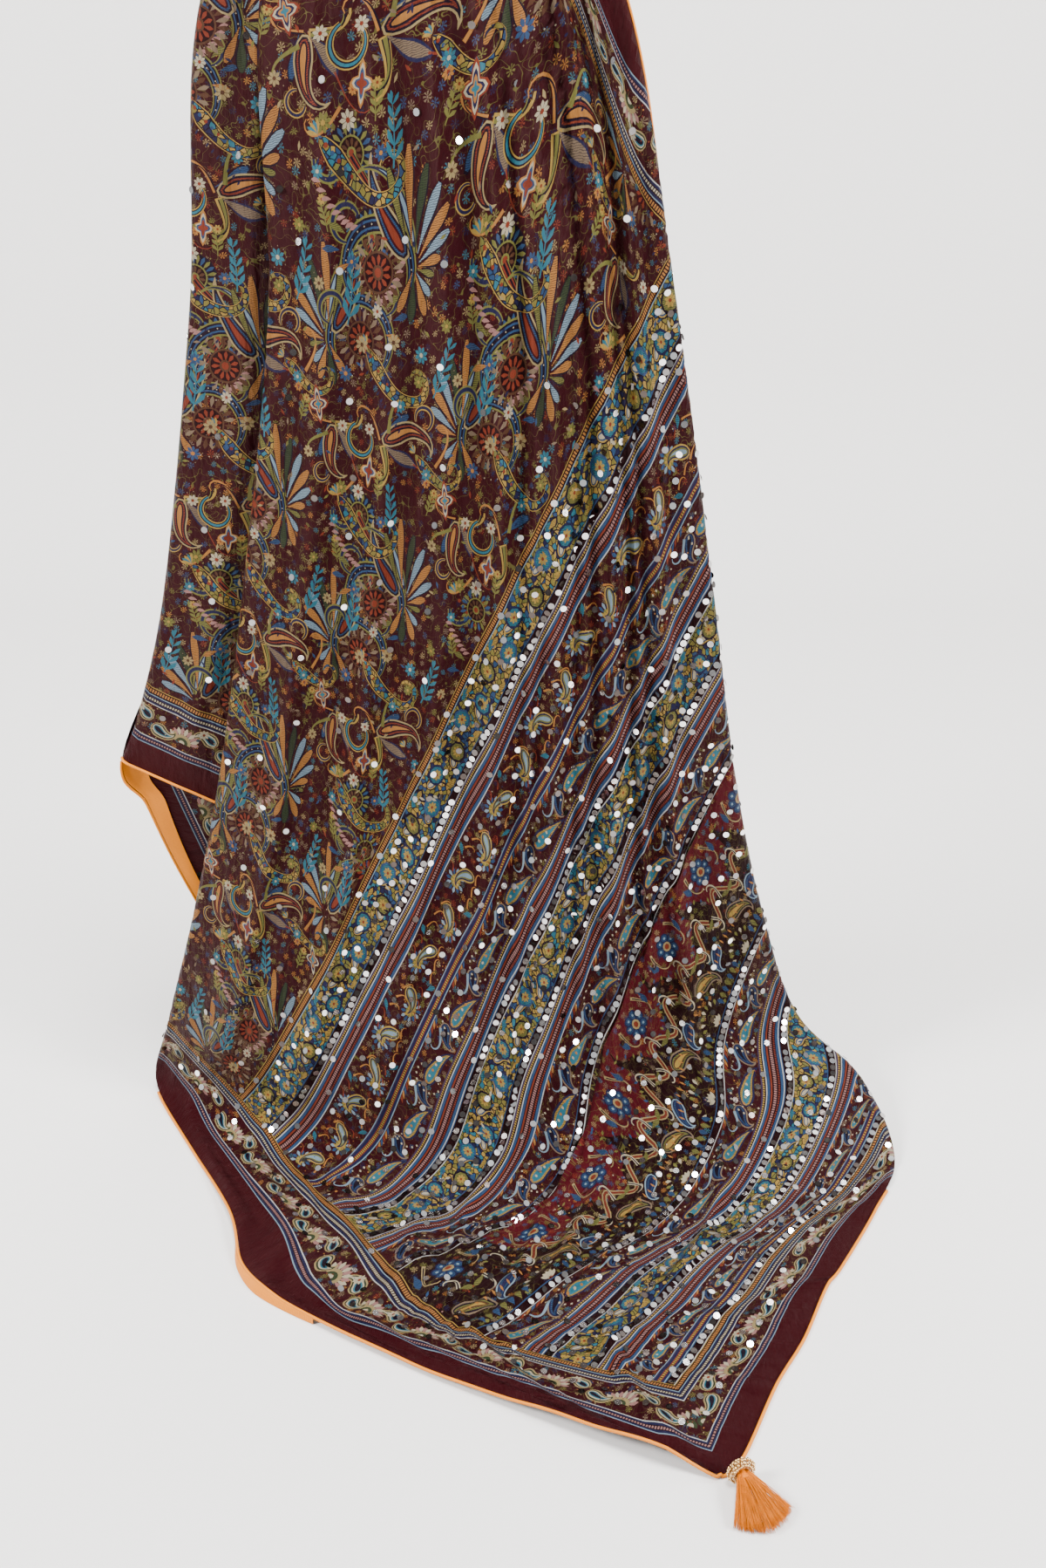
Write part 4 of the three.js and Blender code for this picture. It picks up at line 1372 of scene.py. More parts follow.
def silk_print(name, satin_gloss):
    """Printed silk: inks from the mesh, their styles by arithmetic, a weave and soft crinkles."""
    silk = Finish(name, Specular_IOR_Level=0.1, Specular_Tint=rgba((1.0, 0.55, 0.5)))
    flat = silk.node("ShaderNodeTexCoord", None, (), "UV")
    style = silk.node("ShaderNodeAttribute", {"attribute_name": "ink"}, (), "Alpha")
    u = silk.node("ShaderNodeSeparateXYZ", None, [flat], 0)
    v = silk.node("ShaderNodeSeparateXYZ", None, [flat], 1)
    sway = silk.scaled(silk.noise_colour(flat, 90.0), (0.006, 0.006, 0))
    bent = silk.node("ShaderNodeVectorMath", {"operation": "ADD"}, [flat, sway])

    printed = dotted_and_veined(silk, style, flat, u, v)
    printed = silk.blend(style.near(MOSAIC, 0.05), printed, mosaic(silk, bent))
    printed = filigree(silk, style.near(FILIGREE, 0.05), flat, bent, printed)
    bleed = silk.noise(flat, 900.0, 2.0)
    printed = silk.blend(bleed * 0.2, printed, rgba(INKS["deep"]))
    patches = silk.noise(flat, 11.0, 2.0)
    silk.feed("Base Color", silk.blend(patches * 0.2, printed, rgba((0.01, 0.003, 0.005))))

    across = v * PLUMB[0] - u * PLUMB[1]
    down = u * PLUMB[0] + v * PLUMB[1]
    hanging_way = silk.node("ShaderNodeCombineXYZ", None, [across, down * 0.3, 0.0])
    crinkle = silk.noise(hanging_way, 95.0, 3.0, 0.6)
    creases = silk.noise(hanging_way, 28.0, 2.0, 0.5)
    weave = (u * 9000).sine() * (v * 9000).sine()
    silk.feed("Roughness", crinkle * 0.24 + (0.3 - satin_gloss))
    silk.bump(crinkle + creases * 2.5 + weave * 0.02, 0.9, 0.009)
    return silk.material


def dotted_and_veined(silk, style, flat, u, v):
    """The mesh's inks, with dark dots or veins where their style asks for them."""
    dark = rgba(INKS["ink"])
    ink = silk.node("ShaderNodeAttribute", {"attribute_name": "ink"}, (), "Color")
    dots_v = style.near(DOTS_ALONG_V, 0.05) * ((v * 390).fraction() > 0.62)
    dots_u = style.near(DOTS_ALONG_U, 0.05) * ((u * 390).fraction() > 0.62)
    printed = silk.blend(dots_v + dots_u, ink, dark)
    wobble = silk.noise(flat, 260.0, 1.0)
    veins = style.near(VEINED, 0.05) * (((u * 0.8 + v * 1.1) * 3400 + wobble * 9).sine() > 0.35)
    return silk.blend(veins * 0.62, printed, dark)


def mosaic(silk, bent):
    """Small chips of ink with dark joints."""
    chips = {"Vector": bent, "Scale": 230.0}
    edge = silk.voronoi(chips, "Distance", "DISTANCE_TO_EDGE")
    pick = silk.node("ShaderNodeSeparateColor", None, [silk.voronoi(chips, "Color")], 0)
    chip = silk.ramp(pick, ["gold", "moss", "teal", "navy", "moss", "olive", "blue", "gold"])
    return silk.blend(edge < 0.09, chip, rgba(INKS["ink"]))


def filigree(silk, where, flat, bent, printed):
    """Sows tiny flowers and tendrils over the ground."""
    cell = {"Vector": bent, "Scale": 115.0, "Randomness": 0.8}
    reach = silk.voronoi(cell, "Distance")
    colour = silk.voronoi(cell, "Color")
    heart = silk.voronoi(cell, "Position")
    arm = silk.node("ShaderNodeVectorMath", {"operation": "SUBTRACT"}, [bent, heart])
    arm_x = silk.node("ShaderNodeSeparateXYZ", None, [arm], 0)
    arm_y = silk.node("ShaderNodeSeparateXYZ", None, [arm], 1)
    rays = (arm_y.math("ARCTAN2", arm_x) * 7).sine()
    choice = silk.node("ShaderNodeSeparateColor", None, [colour], 1)
    ink_of_flower = silk.ramp(choice, ["olive", "straw", "rust", "blue", "taupe", "teal", "orange", "navy"])
    petals = reach.near(0.21, 0.12) * (rays > 0.1) + (reach < 0.07)
    sown = silk.node("ShaderNodeSeparateColor", None, [colour], 0) > 0.35
    printed = silk.blend(where * sown * petals * 0.8, printed, ink_of_flower)
    tendril = silk.noise(flat, 75.0, 1.0).near(0.5, 0.005) + silk.noise(flat, 120.0, 0.0).near(0.42, 0.004)
    return silk.blend(where * tendril * 0.6, printed, rgba(INKS["olive"]))


def satin_trim(name, colour):
    """Bias satin for piping and facings, with fine ribs across it."""
    satin = Finish(name, Specular_IOR_Level=0.15)
    place = satin.node("ShaderNodeTexCoord", None, (), "UV")
    along = satin.node("ShaderNodeSeparateXYZ", None, [place], 0)
    grain = satin.noise(place, 500.0, 2.0)
    ridge = (along * 5200).sine()
    shade = satin.blend(grain * 0.5, rgba(colour), rgba(tuple(c * 0.6 for c in colour)))
    satin.feed("Base Color", satin.blend(ridge * 0.08 + 0.08, shade, rgba((0.95, 0.42, 0.05))))
    satin.feed("Roughness", grain * 0.2 + 0.32)
    satin.bump(ridge * 0.3 + grain, 0.4, 0.0006)
    return satin.material


# ---- Pieces ----


def cloth_settings():
    """The user's settings of the cloth."""
    return bpy.context.scene.saree_cloth


def colour_settings():
    """The user's colours."""
    return bpy.context.scene.saree_colours


class SAREE_OT_front(bpy.types.Operator):
    """Pallu and field of the front layer, down to the train on the floor"""

    bl_idname = "saree.front"
    bl_label = "Front layer"

    def execute(self, context):
        step = cloth_settings().drape_step
        silk = silk_print("printed silk, front", 0.06)
        motifs = pallu_shapes()
        for name, u_range, held, rests_on in [
            ("pallu_train", (-PAST_THE_EDGE, TRAIN_CUT), "laid", ["floor"]),
            ("pallu", (TRAIN_CUT, PALLU_DEPTH), "draped", ["pallu_train", "floor"]),
        ]:
            pallu, uv, area = printed_cloth(name, FRONT_DRAPE, motifs, True, u_range, step)
            pallu.data.materials.append(silk)
            declare_sheet(pallu, uv, "front_stretch")
        shapes = []
        draw_field(shapes, ((PALLU_DEPTH, 60), (FIELD_END, 1060)), 3)
        upper = []
        edge_florals((PALLU_DEPTH, FIELD_END), along_upper_edge(upper), random.Random(9))
        shapes = clipped(shapes, lambda u, v: within_borders(v) & (u > PALLU_DEPTH))
        shapes += hem_shapes(PALLU_DEPTH, FIELD_END)
        first = EDGE_SATIN + widths(OUTER_LINES)
        last = first + EDGE_FLORAL
        shapes += clipped(upper, lambda u, v: inside(CLOTH_WIDTH - v, first, last) & (u > PALLU_DEPTH))
        for name, u_range, rests_on in [
            ("front_field", (PALLU_DEPTH, FIELD_CUT), ["pallu"]),
            ("front_field_2", (FIELD_CUT, FIELD_END + 100), ["front_field"]),
        ]:
            field, uv, area = printed_cloth(name, FRONT_DRAPE, shapes, False, u_range, step)
            field.data.materials.append(silk)
            declare_sheet(field, uv, "front_stretch")
        return {"FINISHED"}


def plain_layer(name, drape, node, material, cuts=(), finest=0.0):
    """A layer that shows the field and the hem's border, made in pieces between the cuts.

    Shapes of the print under `finest` square millimetres are left out.
    """
    shapes = []
    ring_points = drape.outline()
    low, high = ring_points.min(axis=0), ring_points.max(axis=0)
    draw_field(shapes, (low, high), 4)
    shapes = clipped(shapes, lambda u, v: within_borders(v))
    shapes += hem_shapes(low[0] - 20, high[0] + 20)
    shapes = [shape for shape in shapes if abs(signed_area(corners_of(shape[0]))) / 2 >= finest]
    step = cloth_settings().drape_step
    cuts = [low[0] - 50, *cuts, high[0] + 50]
    for k in range(len(cuts) - 1):
        label = name if k == 0 else f"{name}_{k + 1}"
        piece, uv, area = printed_cloth(label, drape, shapes, False, (cuts[k], cuts[k + 1]), step)
        piece.data.materials.append(material)
        declare_sheet(piece, uv, node)


class SAREE_OT_side(bpy.types.Operator):
    """Near side layer with its hanging hem"""

    bl_idname = "saree.side"
    bl_label = "Side layer"

    def execute(self, context):
        silk = silk_print("printed silk, side", 0.02)
        plain_layer("side_layer", SIDE_DRAPE, "side_stretch", silk)
        return {"FINISHED"}


class SAREE_OT_back(bpy.types.Operator):
    """Far layer, whose reverse shows at the left"""

    bl_idname = "saree.back"
    bl_label = "Back layer"

    def execute(self, context):
        silk = silk_print("printed silk, back", 0.02)
        cuts, finest = (BACK_CUT,), FINEST_BEHIND
        plain_layer("back_layer", BACK_DRAPE, "back_stretch", silk, cuts, finest)
        return {"FINISHED"}


def mesh_piece(name, vertices, faces, material, node=None, uv=None):
    """A smooth mesh in metres, riding on the root."""
    mesh = bpy.data.meshes.new(name)
    mesh.from_pydata(vertices, [], faces)
    mesh.polygons.foreach_set("use_smooth", np.ones(len(mesh.polygons), bool))
    if uv is not None:
        corners = np.array([uv[k] for face in faces for k in face])
        mesh.uv_layers.new(name="flat").data.foreach_set("uv", corners.ravel())
    mesh.materials.append(material)
    mesh.update()
    piece = bpy.data.objects.new(name, mesh)
    bpy.context.collection.objects.link(piece)
    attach(piece, "root")
    if node:
        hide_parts(node)
    return piece


UNLIKE_ANY_EDGE = np.array([0.31, 0.2, 0.93])  # a direction that no piping or thread runs along


def tube(path, radius, sides=8):
    """Vertices, faces and (u, v) of a round tube along a path, all in millimetres."""
    path = np.array(path, float)
    along = np.gradient(path, axis=0)
    along /= np.linalg.norm(along, axis=1)[:, None]
    side = np.cross(along, UNLIKE_ANY_EDGE)
    side /= np.linalg.norm(side, axis=1)[:, None]
    up = np.cross(side, along)
    run = np.concatenate([[0], np.cumsum(np.linalg.norm(np.diff(path, axis=0), axis=1))])
    angles = 2 * math.pi * np.arange(sides) / sides
    vertices, uv = [], []
    for k, centre in enumerate(path):
        for j, angle in enumerate(angles):
            vertices.append(centre + radius * (math.cos(angle) * side[k] + math.sin(angle) * up[k]))
            uv.append((run[k] * MM, j / sides * 0.01))
    faces = []
    for k in range(len(path) - 1):
        for j in range(sides):
            a, b = k * sides + j, k * sides + (j + 1) % sides
            faces.append((a, b, b + sides, a + sides))
    faces.append(tuple(range(sides))[::-1])
    faces.append(tuple(range((len(path) - 1) * sides, len(path) * sides)))
    return vertices, faces, uv


def edge_path(drape, q, at, offset):
    """A path just outside the cloth's edge, in order along it with the cloth on its left."""
    q, at = np.array(q, float), np.array(at, float)
    path = drape.place(q, at)
    normal = drape.normals(np.clip(q, -0.98, 1.98), np.clip(at, 0.01, drape.last - 0.01))
    along = np.gradient(path, axis=0)
    outward = np.cross(along, normal)
    outward /= np.linalg.norm(outward, axis=1)[:, None]
    path = path + outward * offset
    path[:, 2] = np.maximum(path[:, 2], FLOOR + offset)
    return path


class SAREE_OT_pipings(bpy.types.Operator):
    """Satin piping along the edges that show"""

    bl_idname = "saree.pipings"
    bl_label = "Pipings"

    def execute(self, context):
        satin = satin_trim("orange satin piping", tuple(colour_settings().piping))
        radius = cloth_settings().piping_diameter / MM / 2
        last = FRONT_DRAPE.last
        down = np.linspace(7.6, last, 300)
        hem = np.linspace(-1, 2, 24)[1:-1]
        up = np.linspace(last, 8.6, 240)
        q = np.concatenate([-np.ones(len(down)), hem, 2 * np.ones(len(up))])
        at = np.concatenate([down, np.full(len(hem), last), up])
        above_the_flap = np.linspace(1.7, 0.3, 60)
        below_the_tip = np.linspace(4.05, 7.9, 90)
        along_the_hem = np.linspace(-0.9, 2, 60)
        runs = [
            ("front_edge_piping", "front_piping", FRONT_DRAPE, q, at),
            ("upper_edge_piping_trim", "upper_edge_piping", FRONT_DRAPE, np.full(60, 2), above_the_flap),
            ("back_edge_piping", "back_piping", BACK_DRAPE, -np.ones(90), below_the_tip),
            ("side_hem_piping", "side_piping", SIDE_DRAPE, along_the_hem, np.full(60, SIDE_DRAPE.last)),
        ]
        for name, node, drape, across, along in runs:
            path = edge_path(drape, across, along, radius)
            vertices, faces, uv = tube(path, radius)
            vertices = np.array(vertices)
            vertices[:, 2] = np.maximum(vertices[:, 2], FLOOR)
            mesh_piece(name, (vertices * MM).tolist(), faces, satin, node, uv)
        return {"FINISHED"}


def back_facing():
    """Points, faces and (u, v) of the strip inside the far layer's hem, from the tip down."""
    rows, columns = 60, 6
    at = np.linspace(4.02, 7.6, rows)
    wide = np.linspace(14, 5, rows)
    points, uv = [], []
    for k in range(rows):
        ends = BACK_DRAPE.place(np.array([0.0, 1.0]), np.full(2, at[k]))
        width = np.linalg.norm(ends[1] - ends[0])
        q = np.concatenate([[-0.95, -0.4], np.linspace(0, wide[k] / width, columns - 2)])
        many = np.full(columns, at[k])
        normal = BACK_DRAPE.normals(q, many)
        front = np.where(normal[:, 1] > 0, -1, 1)[:, None] * normal
        points += (BACK_DRAPE.place(q, many) + front * 0.9).tolist()
        uv += [(k * 0.006, j * 0.003) for j in range(columns)]
    return (np.array(points) * MM).tolist(), grid_faces(rows, columns), uv


def rolled_facing():
    """Points, faces and (u, v) of the crescent where the hem rolls up on the floor."""
    rows, columns = 30, 4
    at = np.linspace(9.6, 11.25, rows)
    path = edge_path(FRONT_DRAPE, -np.ones(rows), at, 2.9)
    outward = edge_path(FRONT_DRAPE, -np.ones(rows), at, 3.6) - path
    outward[:, 2] = 0
    outward /= np.linalg.norm(outward, axis=1)[:, None]
    reach = 0.8 + 4.4 * np.sin(np.linspace(0, math.pi, rows))
    points, uv = [], []
    for k in range(rows):
        above = max(path[k][2] - FLOOR - 1.5, 0)
        for j in range(columns):
            share = j / (columns - 1)
            lift = 2.2 * math.sin(math.pi * (0.35 + 0.65 * share))
            point = path[k] + outward[k] * reach[k] * share
            point[2] = FLOOR + LEAST_LIFT + above * (1 - share) + lift
            points.append(point.tolist())
            uv.append((k * 0.004, j * 0.003))
    return (np.array(points) * MM).tolist(), grid_faces(rows, columns), uv


class SAREE_OT_facings(bpy.types.Operator):
    """Orange facings on the reverse of the hem"""

    bl_idname = "saree.facings"
    bl_label = "Facings"

    def execute(self, context):
        satin = satin_trim("orange satin facing", tuple(colour_settings().piping))
        points, faces, uv = back_facing()
        mesh = mesh_piece("back_hem_facing", points, faces, satin, "back_facing", uv)
        points, faces, uv = rolled_facing()
        mesh = mesh_piece("rolled_hem_facing", points, faces, satin, "rolled_facing", uv)
        return {"FINISHED"}


def grid_faces(rows, columns):
    """Quads over a grid of points."""
    return [
        (a, a + 1, a + columns + 1, a + columns)
        for j in range(rows - 1)
        for a in range(j * columns, j * columns + columns - 1)
    ]


# ---- Sequins ----


SEQUIN_PITCH = {"gold": 10, "paisleys": 11, "flowers": 10, "arches": 4.3, "lines": 48}  # along each band
MIRROR_PITCH = 7.4
BORDER_PITCH = 15
GOLDEN = 0.618  # its multiples, less their whole parts, spread evenly between 0 and 1


def sequin_places():
    """Where the sequins are sewn, as (drape, [(u, v)])."""
    chance = random.Random(42)
    front = []
    for name, start, end, _ in PALLU:
        if name == "mirrors":
            v = BORDER + 3
            while v < CLOTH_WIDTH - BORDER:
                if chance.random() > 0.05:
                    u = (start + end) / 2 + chance.uniform(-0.7, 0.7)
                    front.append((u, v + chance.uniform(-0.6, 0.6)))
                v += MIRROR_PITCH
        else:
            for k in range(int((CLOTH_WIDTH - 2 * BORDER) / SEQUIN_PITCH[name])):
                share = 0.08 + 0.84 * ((k * GOLDEN) % 1)
                v = BORDER + SEQUIN_PITCH[name] * (k + chance.uniform(-0.4, 0.4))
                front.append((start + (end - start) * share, v))
    floral = EDGE_SATIN + widths(OUTER_LINES) + EDGE_FLORAL / 2
    for k in range(int(CLOTH_WIDTH / BORDER_PITCH)):
        along = BORDER_PITCH * k + chance.uniform(-3, 3)
        inward = floral + (7 if k % 2 else -6) + chance.uniform(-3, 3)
        if along > inward:
            front += [(along, inward), (inward, along)]
        if k % 3 == 0:
            front.append((along + 400, CLOTH_WIDTH - inward))
    front += scattered((PALLU_DEPTH, BORDER), (FIELD_END, CLOTH_WIDTH - BORDER), 58, chance)
    other = scattered((700, 10), (1600, 900), 62, chance)
    back = scattered((1100, 10), (2000, 700), 80, chance)
    return [
        ("front", FRONT_DRAPE, [(u, v) for u, v in front if 3 < v < CLOTH_WIDTH - 3 and u > 3]),
        ("side", SIDE_DRAPE, other),
        ("back", BACK_DRAPE, back),
    ]


def scattered(low, high, pitch, chance):
    """Places over a box of the flat cut, about a pitch apart."""
    places = []
    for j, v in enumerate(np.arange(low[1], high[1], pitch)):
        for u in np.arange(low[0], high[0], pitch):
            shift = chance.uniform(-0.3, 0.3), chance.uniform(-0.3, 0.3)
            places.append((u + pitch * (shift[0] + 0.5 * (j % 2)), v + pitch * shift[1]))
    return places


SEQUIN_SIDES = 9


def add_sequin(vertices, faces, centre, facing, radius):
    """A flat disc, a little wider above than below, its measures in millimetres."""
    side = facing.orthogonal().normalized()
    up = facing.cross(side)
    first = len(vertices)
    for height, size in ((0.15, 1.0), (-0.15, 0.97)):
        for k in range(SEQUIN_SIDES):
            angle = 2 * math.pi * k / SEQUIN_SIDES
            rim = side * (math.cos(angle) * radius * size) + up * (math.sin(angle) * radius * size)
            vertices.append(tuple((centre + rim + facing * height) * MM))
    upper = list(range(first, first + SEQUIN_SIDES))
    lower = [corner + SEQUIN_SIDES for corner in upper]
    faces += [upper, lower[::-1]]
    for j in range(SEQUIN_SIDES):
        n = (j + 1) % SEQUIN_SIDES
        faces.append([lower[j], lower[n], upper[n], upper[j]])


class SAREE_OT_sequins(bpy.types.Operator):
    """Flat mirror sequins sewn over the print"""

    bl_idname = "saree.sequins"
    bl_label = "Sequins"

    def execute(self, context):
        chance = random.Random(8)
        radius = cloth_settings().sequin_diameter / MM / 2
        foil = sequin_foil()
        for layer_name, drape, places in sequin_places():
            places = np.array(places)
            places = places[inside_ring(drape.outline(20), places)]
            q, at = drape.find(places)
            point, normal = drape.place(q, at), drape.normals(q, at)
            vertices, faces, painted_reflections = [], [], []
            for k in range(len(places)):
                lean = Vector((chance.gauss(0, 0.15), chance.gauss(0, 0.15), chance.gauss(0, 0.15)))
                facing = (Vector(normal[k]) + lean).normalized()
                centre = Vector(point[k]) + Vector(normal[k]) * 0.9
                add_sequin(vertices, faces, centre, facing, radius)
                # painted reflection: each disc gets a darkness that stands in for how much of the dark room
                # it mirrors
                painted_reflections += [chance.choice([1.0, 1.0, 0.7, 0.4, 0.22, 0.08, 0.03])] * (2 + SEQUIN_SIDES)
            piece = mesh_piece(f"{layer_name}_sequins", vertices, faces, foil)
            piece.data.polygons.foreach_set("use_smooth", np.zeros(len(faces), bool))
            layer = piece.data.color_attributes.new("tone", "FLOAT_COLOR", "CORNER")
            colours = np.repeat(np.array(painted_reflections), [len(f) for f in faces])
            opaque = np.ones(len(colours))
            layer.data.foreach_set("color", np.stack([colours] * 3 + [opaque], axis=1).ravel())
        return {"FINISHED"}


def sequin_foil():
    """Mirror foil, from bright silver to dark: each disc's darkness is a painted reflection, standing in for
    the dark room that some sequins mirror.
    """
    foil = Finish("mirror foil", Metallic=1.0)
    tone = foil.node("ShaderNodeAttribute", {"attribute_name": "tone"}, (), "Fac")
    place = foil.node("ShaderNodeTexCoord", None, (), "Object")
    smudge = foil.noise(place, 220.0, 2.0)
    # painted reflection: the per-disc darkness runs the foil from near black to bright silver
    colour = foil.blend(tone, rgba((0.02, 0.016, 0.016)), rgba((0.96, 0.95, 0.94)))
    foil.feed("Base Color", foil.blend(smudge * 0.12, colour, rgba((0.55, 0.36, 0.26))))
    foil.feed("Roughness", smudge * 0.16 + 0.1)
    foil.bump(smudge, 0.15, 0.0008)
    return foil.material


# ---- Tassel ----

TASSEL_LEAD = Vector((0.35, -0.94, 0)).normalized()


def tassel_frame():
    """Centre of the tassel's ring, and the directions along it, across it and up."""
    low, high = (Vector(corner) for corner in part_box("tassel_head"))
    up = Vector((0, 0, 1))
    return (low + high) / 2 + TASSEL_LEAD * 4 * MM, TASSEL_LEAD, up.cross(TASSEL_LEAD), up


def ring_beads(chance):
    """Vertices and faces of the beads sewn round the ring."""
    centre, lead, across, up = tassel_frame()
    vertices, faces = [], []
    ring_radius, tube_radius, bead_radius = 8 * MM, 3.3 * MM, 1.2 * MM
    for k in range(24):
        for j in range(8):
            around = 2 * math.pi * (k + 0.5 * (j % 2)) / 24
            tilt = 2 * math.pi * j / 8
            radial = across * math.cos(around) + up * math.sin(around)
            reach = ring_radius + tube_radius * math.cos(tilt)
            if reach < 5.2 * MM and k % 2:
                continue  # the ring's inside has room for half as many
            bead = centre + radial * reach + lead * (tube_radius * math.sin(tilt))
            stray = Vector((chance.uniform(-1, 1), chance.uniform(-1, 1), chance.uniform(-1, 1)))
            bead += stray * 0.25 * MM
            add_bead(vertices, faces, bead, bead_radius * chance.uniform(0.85, 1.15))
    return vertices, faces


def bead_gold():
    """Gold glass, lighter in spots."""
    beads = Finish("gold glass beads", Metallic=0.9)
    place = beads.node("ShaderNodeTexCoord", None, (), "Object")
    spots = beads.noise(place, 700.0, 2.0)
    gold = rgba(tuple(colour_settings().beads))
    beads.feed("Base Color", beads.blend(spots, rgba((0.8, 0.58, 0.3)), gold))
    beads.feed("Roughness", spots * 0.3 + 0.08)
    return beads.material


def thread_path(k, chance):
    """One thread of the floss: out of the ring, over and down to the floor, with a slight wave."""
    centre, lead, across, up = tassel_frame()
    share = chance.uniform(-1, 1)
    layer = chance.random()
    fan = share * 0.55 + chance.gauss(0, 0.02)
    length = (52 - 7 * abs(share) + chance.gauss(0, 1.2)) * MM
    drop = (12.2 - 1.0 - 9.0 * layer * (1 - 0.4 * abs(share))) * MM
    root = centre + across * (share * 2.6 * MM) + up * ((layer - 0.5) * 4.5 * MM)
    end = centre + lead * (length * math.cos(fan)) + across * (length * math.sin(fan)) - up * drop
    middle = root.lerp(end, 0.45) + up * (3.4 * MM * (0.4 + 0.6 * layer))
    wave = chance.uniform(-0.8, 0.8) * MM
    path = []
    for j in range(9):
        t = j / 8
        point = root * (1 - t) ** 2 + middle * (2 * t * (1 - t)) + end * t * t
        point += across * (wave * math.sin(t * 7 + k))
        point.z = max(point.z, FLOOR * MM + 0.3 * MM)
        path.append(np.array(point) / MM)
    return path


def add_tube(vertices, faces, uv, path, radius, sides):
    """Adds a tube, whose path is in millimetres, to a mesh in metres."""
    first = len(vertices)
    points, quads, marks = tube(path, radius, sides)
    vertices += [tuple(point * MM) for point in points]
    faces += [tuple(first + corner for corner in face) for face in quads]
    uv += marks


def floss_threads(chance):
    """Vertices, faces and (u, v) of the fan of threads and of the neck that they spring from."""
    vertices, faces, uv = [], [], []
    for k in range(520):
        add_tube(vertices, faces, uv, thread_path(k, chance), 0.19, 3)
    centre, lead, _, _ = tassel_frame()
    neck = [np.array(centre + lead * ((-4.5 + 1.2 * j) * MM)) / MM for j in range(12)]
    add_tube(vertices, faces, uv, neck, 3.0, 14)
    return vertices, faces, uv


def floss_silk():
    """Silk floss with painted shade: noise darkens it in spots, standing in for the shade between its
    strands, and lightens it in others.
    """
    floss = Finish("silk floss", Specular_IOR_Level=0.12)
    place = floss.node("ShaderNodeTexCoord", None, (), "Object")
    strands = floss.noise(place, 900.0, 1.0)
    silk = tuple(colour_settings().silk)
    dark = rgba(tuple(c * 0.45 for c in silk))
    # painted shade: the noise mixes a darkened silk, standing in for shade between strands, with a lightened
    # one
    floss.feed("Base Color", floss.blend(strands, dark, rgba(tuple(min(c * 1.35, 1) for c in silk))))
    floss.feed("Roughness", strands * 0.2 + 0.3)
    return floss.material


class SAREE_OT_tassel(bpy.types.Operator):
    """Beaded ring and silk floss of the tassel"""

    bl_idname = "saree.tassel"
    bl_label = "Tassel"

    def execute(self, context):
        chance = random.Random(6)
        vertices, faces = ring_beads(chance)
        mesh_piece("tassel_beads", vertices, faces, bead_gold(), "tassel_head")
        vertices, faces, uv = floss_threads(chance)
        mesh_piece("tassel_floss", vertices, faces, floss_silk(), "tassel_strands", uv)
        return {"FINISHED"}


def add_bead(vertices, faces, centre, radius):
    """A low ball: three rings of six and two poles."""
    first = len(vertices)
    vertices.append(tuple(centre + Vector((0, 0, radius))))
    for ring_height in (0.6, 0.0, -0.6):
        reach = math.sqrt(1 - ring_height**2)
        for k in range(6):
            angle = math.pi * k / 3
            offset = Vector((reach * math.cos(angle), reach * math.sin(angle), ring_height))
            vertices.append(tuple(centre + offset * radius))
    vertices.append(tuple(centre - Vector((0, 0, radius))))
    for k in range(6):
        n = (k + 1) % 6
        faces.append((first, first + 1 + k, first + 1 + n))
        for level in (0, 6):
            a = first + 1 + level
            faces.append((a + k, a + 6 + k, a + 6 + n, a + n))
        faces.append((first + 19, first + 13 + n, first + 13 + k))


# ---- Stage ----


def paper_sweep(colour):
    """A sheet of paper on the floor that bends up behind the saree, in metres."""
    back, radius, top, half_width = 1.25, 0.35, 3.2, 4.0
    profile = [(-3.2, 0.0), (back, 0.0)]
    for k in range(1, 13):
        angle = QUARTER * k / 12
        profile.append((back + radius * math.sin(angle), radius * (1 - math.cos(angle))))
    profile.append((back + radius, top))
    vertices = [(x, y, FLOOR * MM + z) for y, z in profile for x in (-half_width, half_width)]
    faces = [(2 * k, 2 * k + 1, 2 * k + 3, 2 * k + 2) for k in range(len(profile) - 1)]
    paper = Finish("paper sweep", Roughness=0.85)
    place = paper.node("ShaderNodeTexCoord", None, (), "Object")
    grain = paper.noise(place, 90.0, 4.0)
    paper.feed("Base Color", paper.blend(grain, rgba(tuple(c * 0.97 for c in colour)), rgba(colour)))
    paper.bump(grain, 0.08, 0.002)
    mesh = bpy.data.meshes.new("floor")
    mesh.from_pydata(vertices, [], faces)
    mesh.polygons.foreach_set("use_smooth", np.ones(len(faces), bool))
    mesh.materials.append(paper.material)
    sweep = bpy.data.objects.new("floor", mesh)
    bpy.context.collection.objects.link(sweep)
    return sweep


def studio_world():
    """Even, slightly cool light from all round."""
    world = bpy.data.worlds.new("studio")
    world.use_nodes = True
    background = world.node_tree.nodes["Background"]
    background.inputs["Color"].default_value = (0.93, 0.96, 1.0, 1.0)
    background.inputs["Strength"].default_value = 0.62
    return world


def area_light(name, place, target, size, power):
    """A square soft light aimed at a point."""
    light = bpy.data.objects.new(name, bpy.data.lights.new(name, "AREA"))
    light.data.size = size
    light.data.energy = power
    light.location = place
    light.rotation_euler = (Vector(target) - Vector(place)).to_track_quat("-Z", "Y").to_euler()
    bpy.context.scene.collection.objects.link(light)


def steep_camera():
    """A camera at the height of the hold, tilted down at the saree."""
    camera = bpy.data.objects.new("camera", bpy.data.cameras.new("camera"))
    camera.location = (0.065, -1.446, -0.045)
    camera.rotation_euler = (math.radians(90 - 28.4), 0, 0)
    camera.data.sensor_fit = "VERTICAL"
    camera.data.sensor_height = 36
    camera.data.lens = 36 * 2000 / 1798
    camera.data.clip_start = 0.02
    bpy.context.scene.collection.objects.link(camera)
    return camera


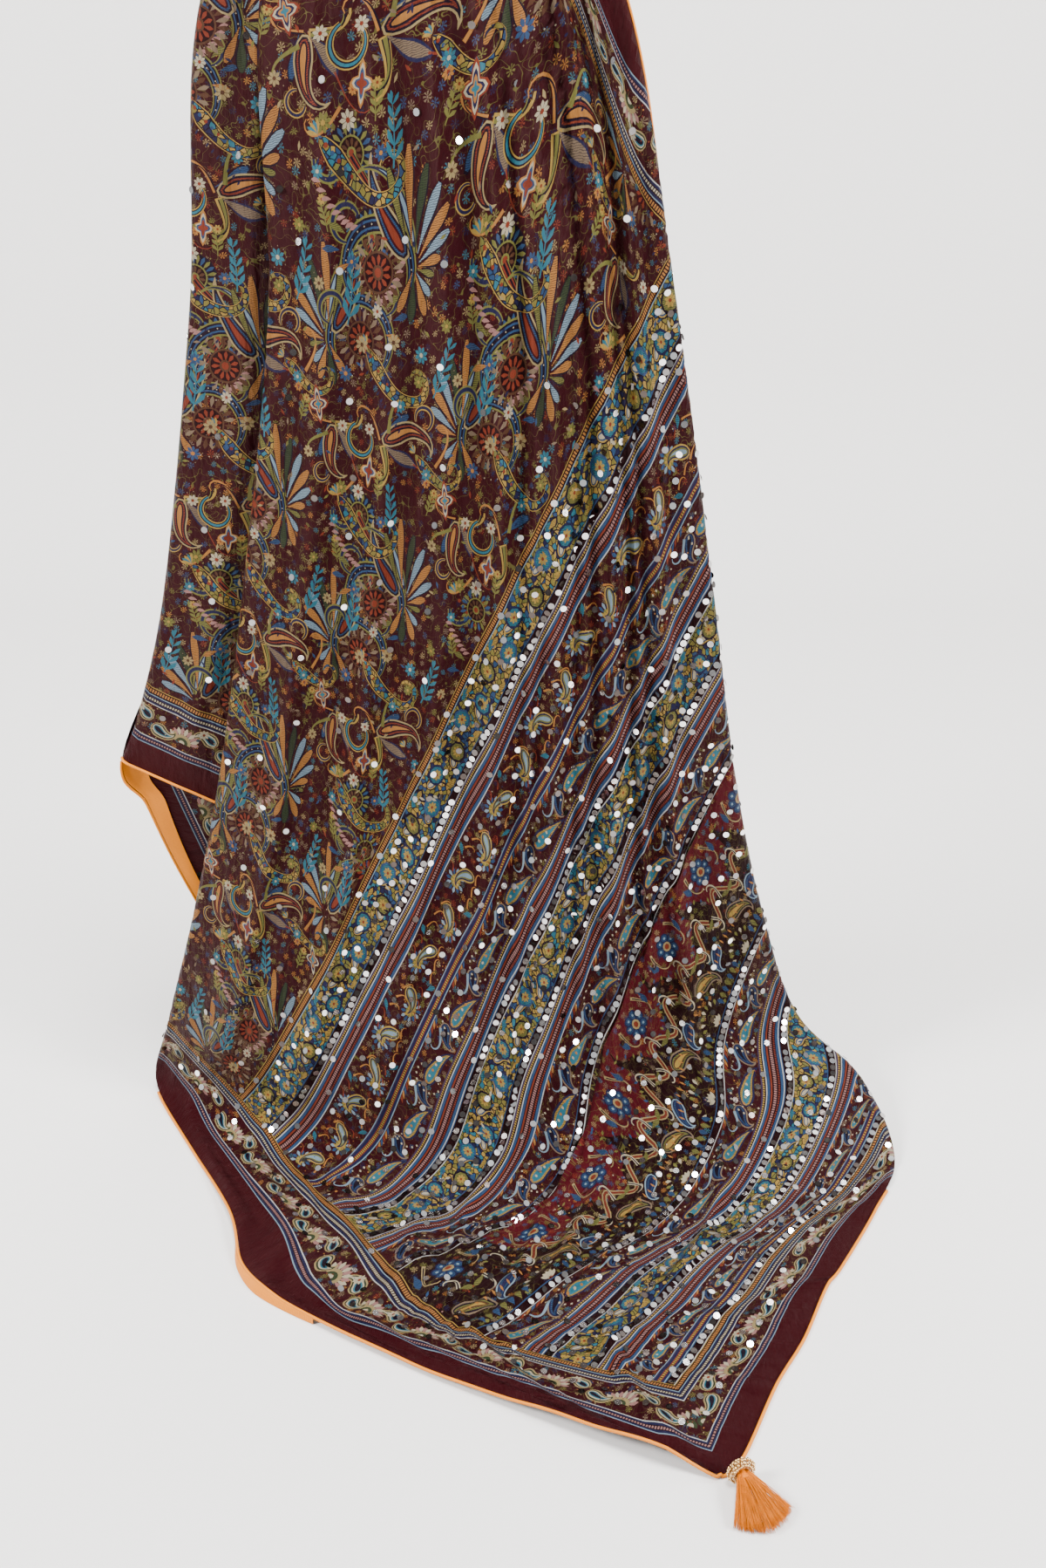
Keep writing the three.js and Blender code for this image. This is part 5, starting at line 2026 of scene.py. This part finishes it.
class SAREE_OT_stage(bpy.types.Operator):
    """Paper sweep, soft studio light and camera"""

    bl_idname = "saree.stage"
    bl_label = "Stage"

    def execute(self, context):
        paper_sweep(tuple(colour_settings().floor))
        context.scene.world = studio_world()
        area_light("key", (-2.3, -1.0, 0.9), (0.1, 0.0, -0.7), 0.9, 195)
        area_light("fill", (2.5, -1.3, 0.6), (0.1, 0.0, -0.8), 1.0, 175)
        area_light("top", (0.3, -0.6, 2.2), (0.1, 0.2, -1.1), 1.0, 150)
        context.scene.camera = steep_camera()
        return {"FINISHED"}


class SAREE_PT_panel(bpy.types.Panel):
    """Lists the pieces of the saree"""

    bl_label = "Saree"
    bl_idname = "SAREE_PT_panel"
    bl_space_type = "VIEW_3D"
    bl_region_type = "UI"
    bl_category = "Saree"

    def draw(self, context):
        for group in (context.scene.saree_cloth, context.scene.saree_colours):
            for name in group.bl_rna.properties.keys():
                if name not in ("rna_type", "name"):
                    self.layout.prop(group, name)
        for operator in OPERATORS:
            self.layout.operator(operator.bl_idname)


OPERATORS = (
    SAREE_OT_stage,
    SAREE_OT_back,
    SAREE_OT_side,
    SAREE_OT_front,
    SAREE_OT_pipings,
    SAREE_OT_facings,
    SAREE_OT_sequins,
    SAREE_OT_tassel,
)
CLASSES = (SareeCloth, SareeColours, *OPERATORS, SAREE_PT_panel)


def register():
    for kind in CLASSES:
        bpy.utils.register_class(kind)
    bpy.types.Scene.saree_cloth = bpy.props.PointerProperty(type=SareeCloth)
    bpy.types.Scene.saree_colours = bpy.props.PointerProperty(type=SareeColours)


def unregister():
    del bpy.types.Scene.saree_colours
    del bpy.types.Scene.saree_cloth
    for kind in reversed(CLASSES):
        bpy.utils.unregister_class(kind)


def main():
    register()
    bpy.ops.saree.stage()
    bpy.ops.saree.back()
    bpy.ops.saree.side()
    bpy.ops.saree.front()
    bpy.ops.saree.pipings()
    bpy.ops.saree.facings()
    bpy.ops.saree.sequins()
    bpy.ops.saree.tassel()


if __name__ == "__main__":
    main()
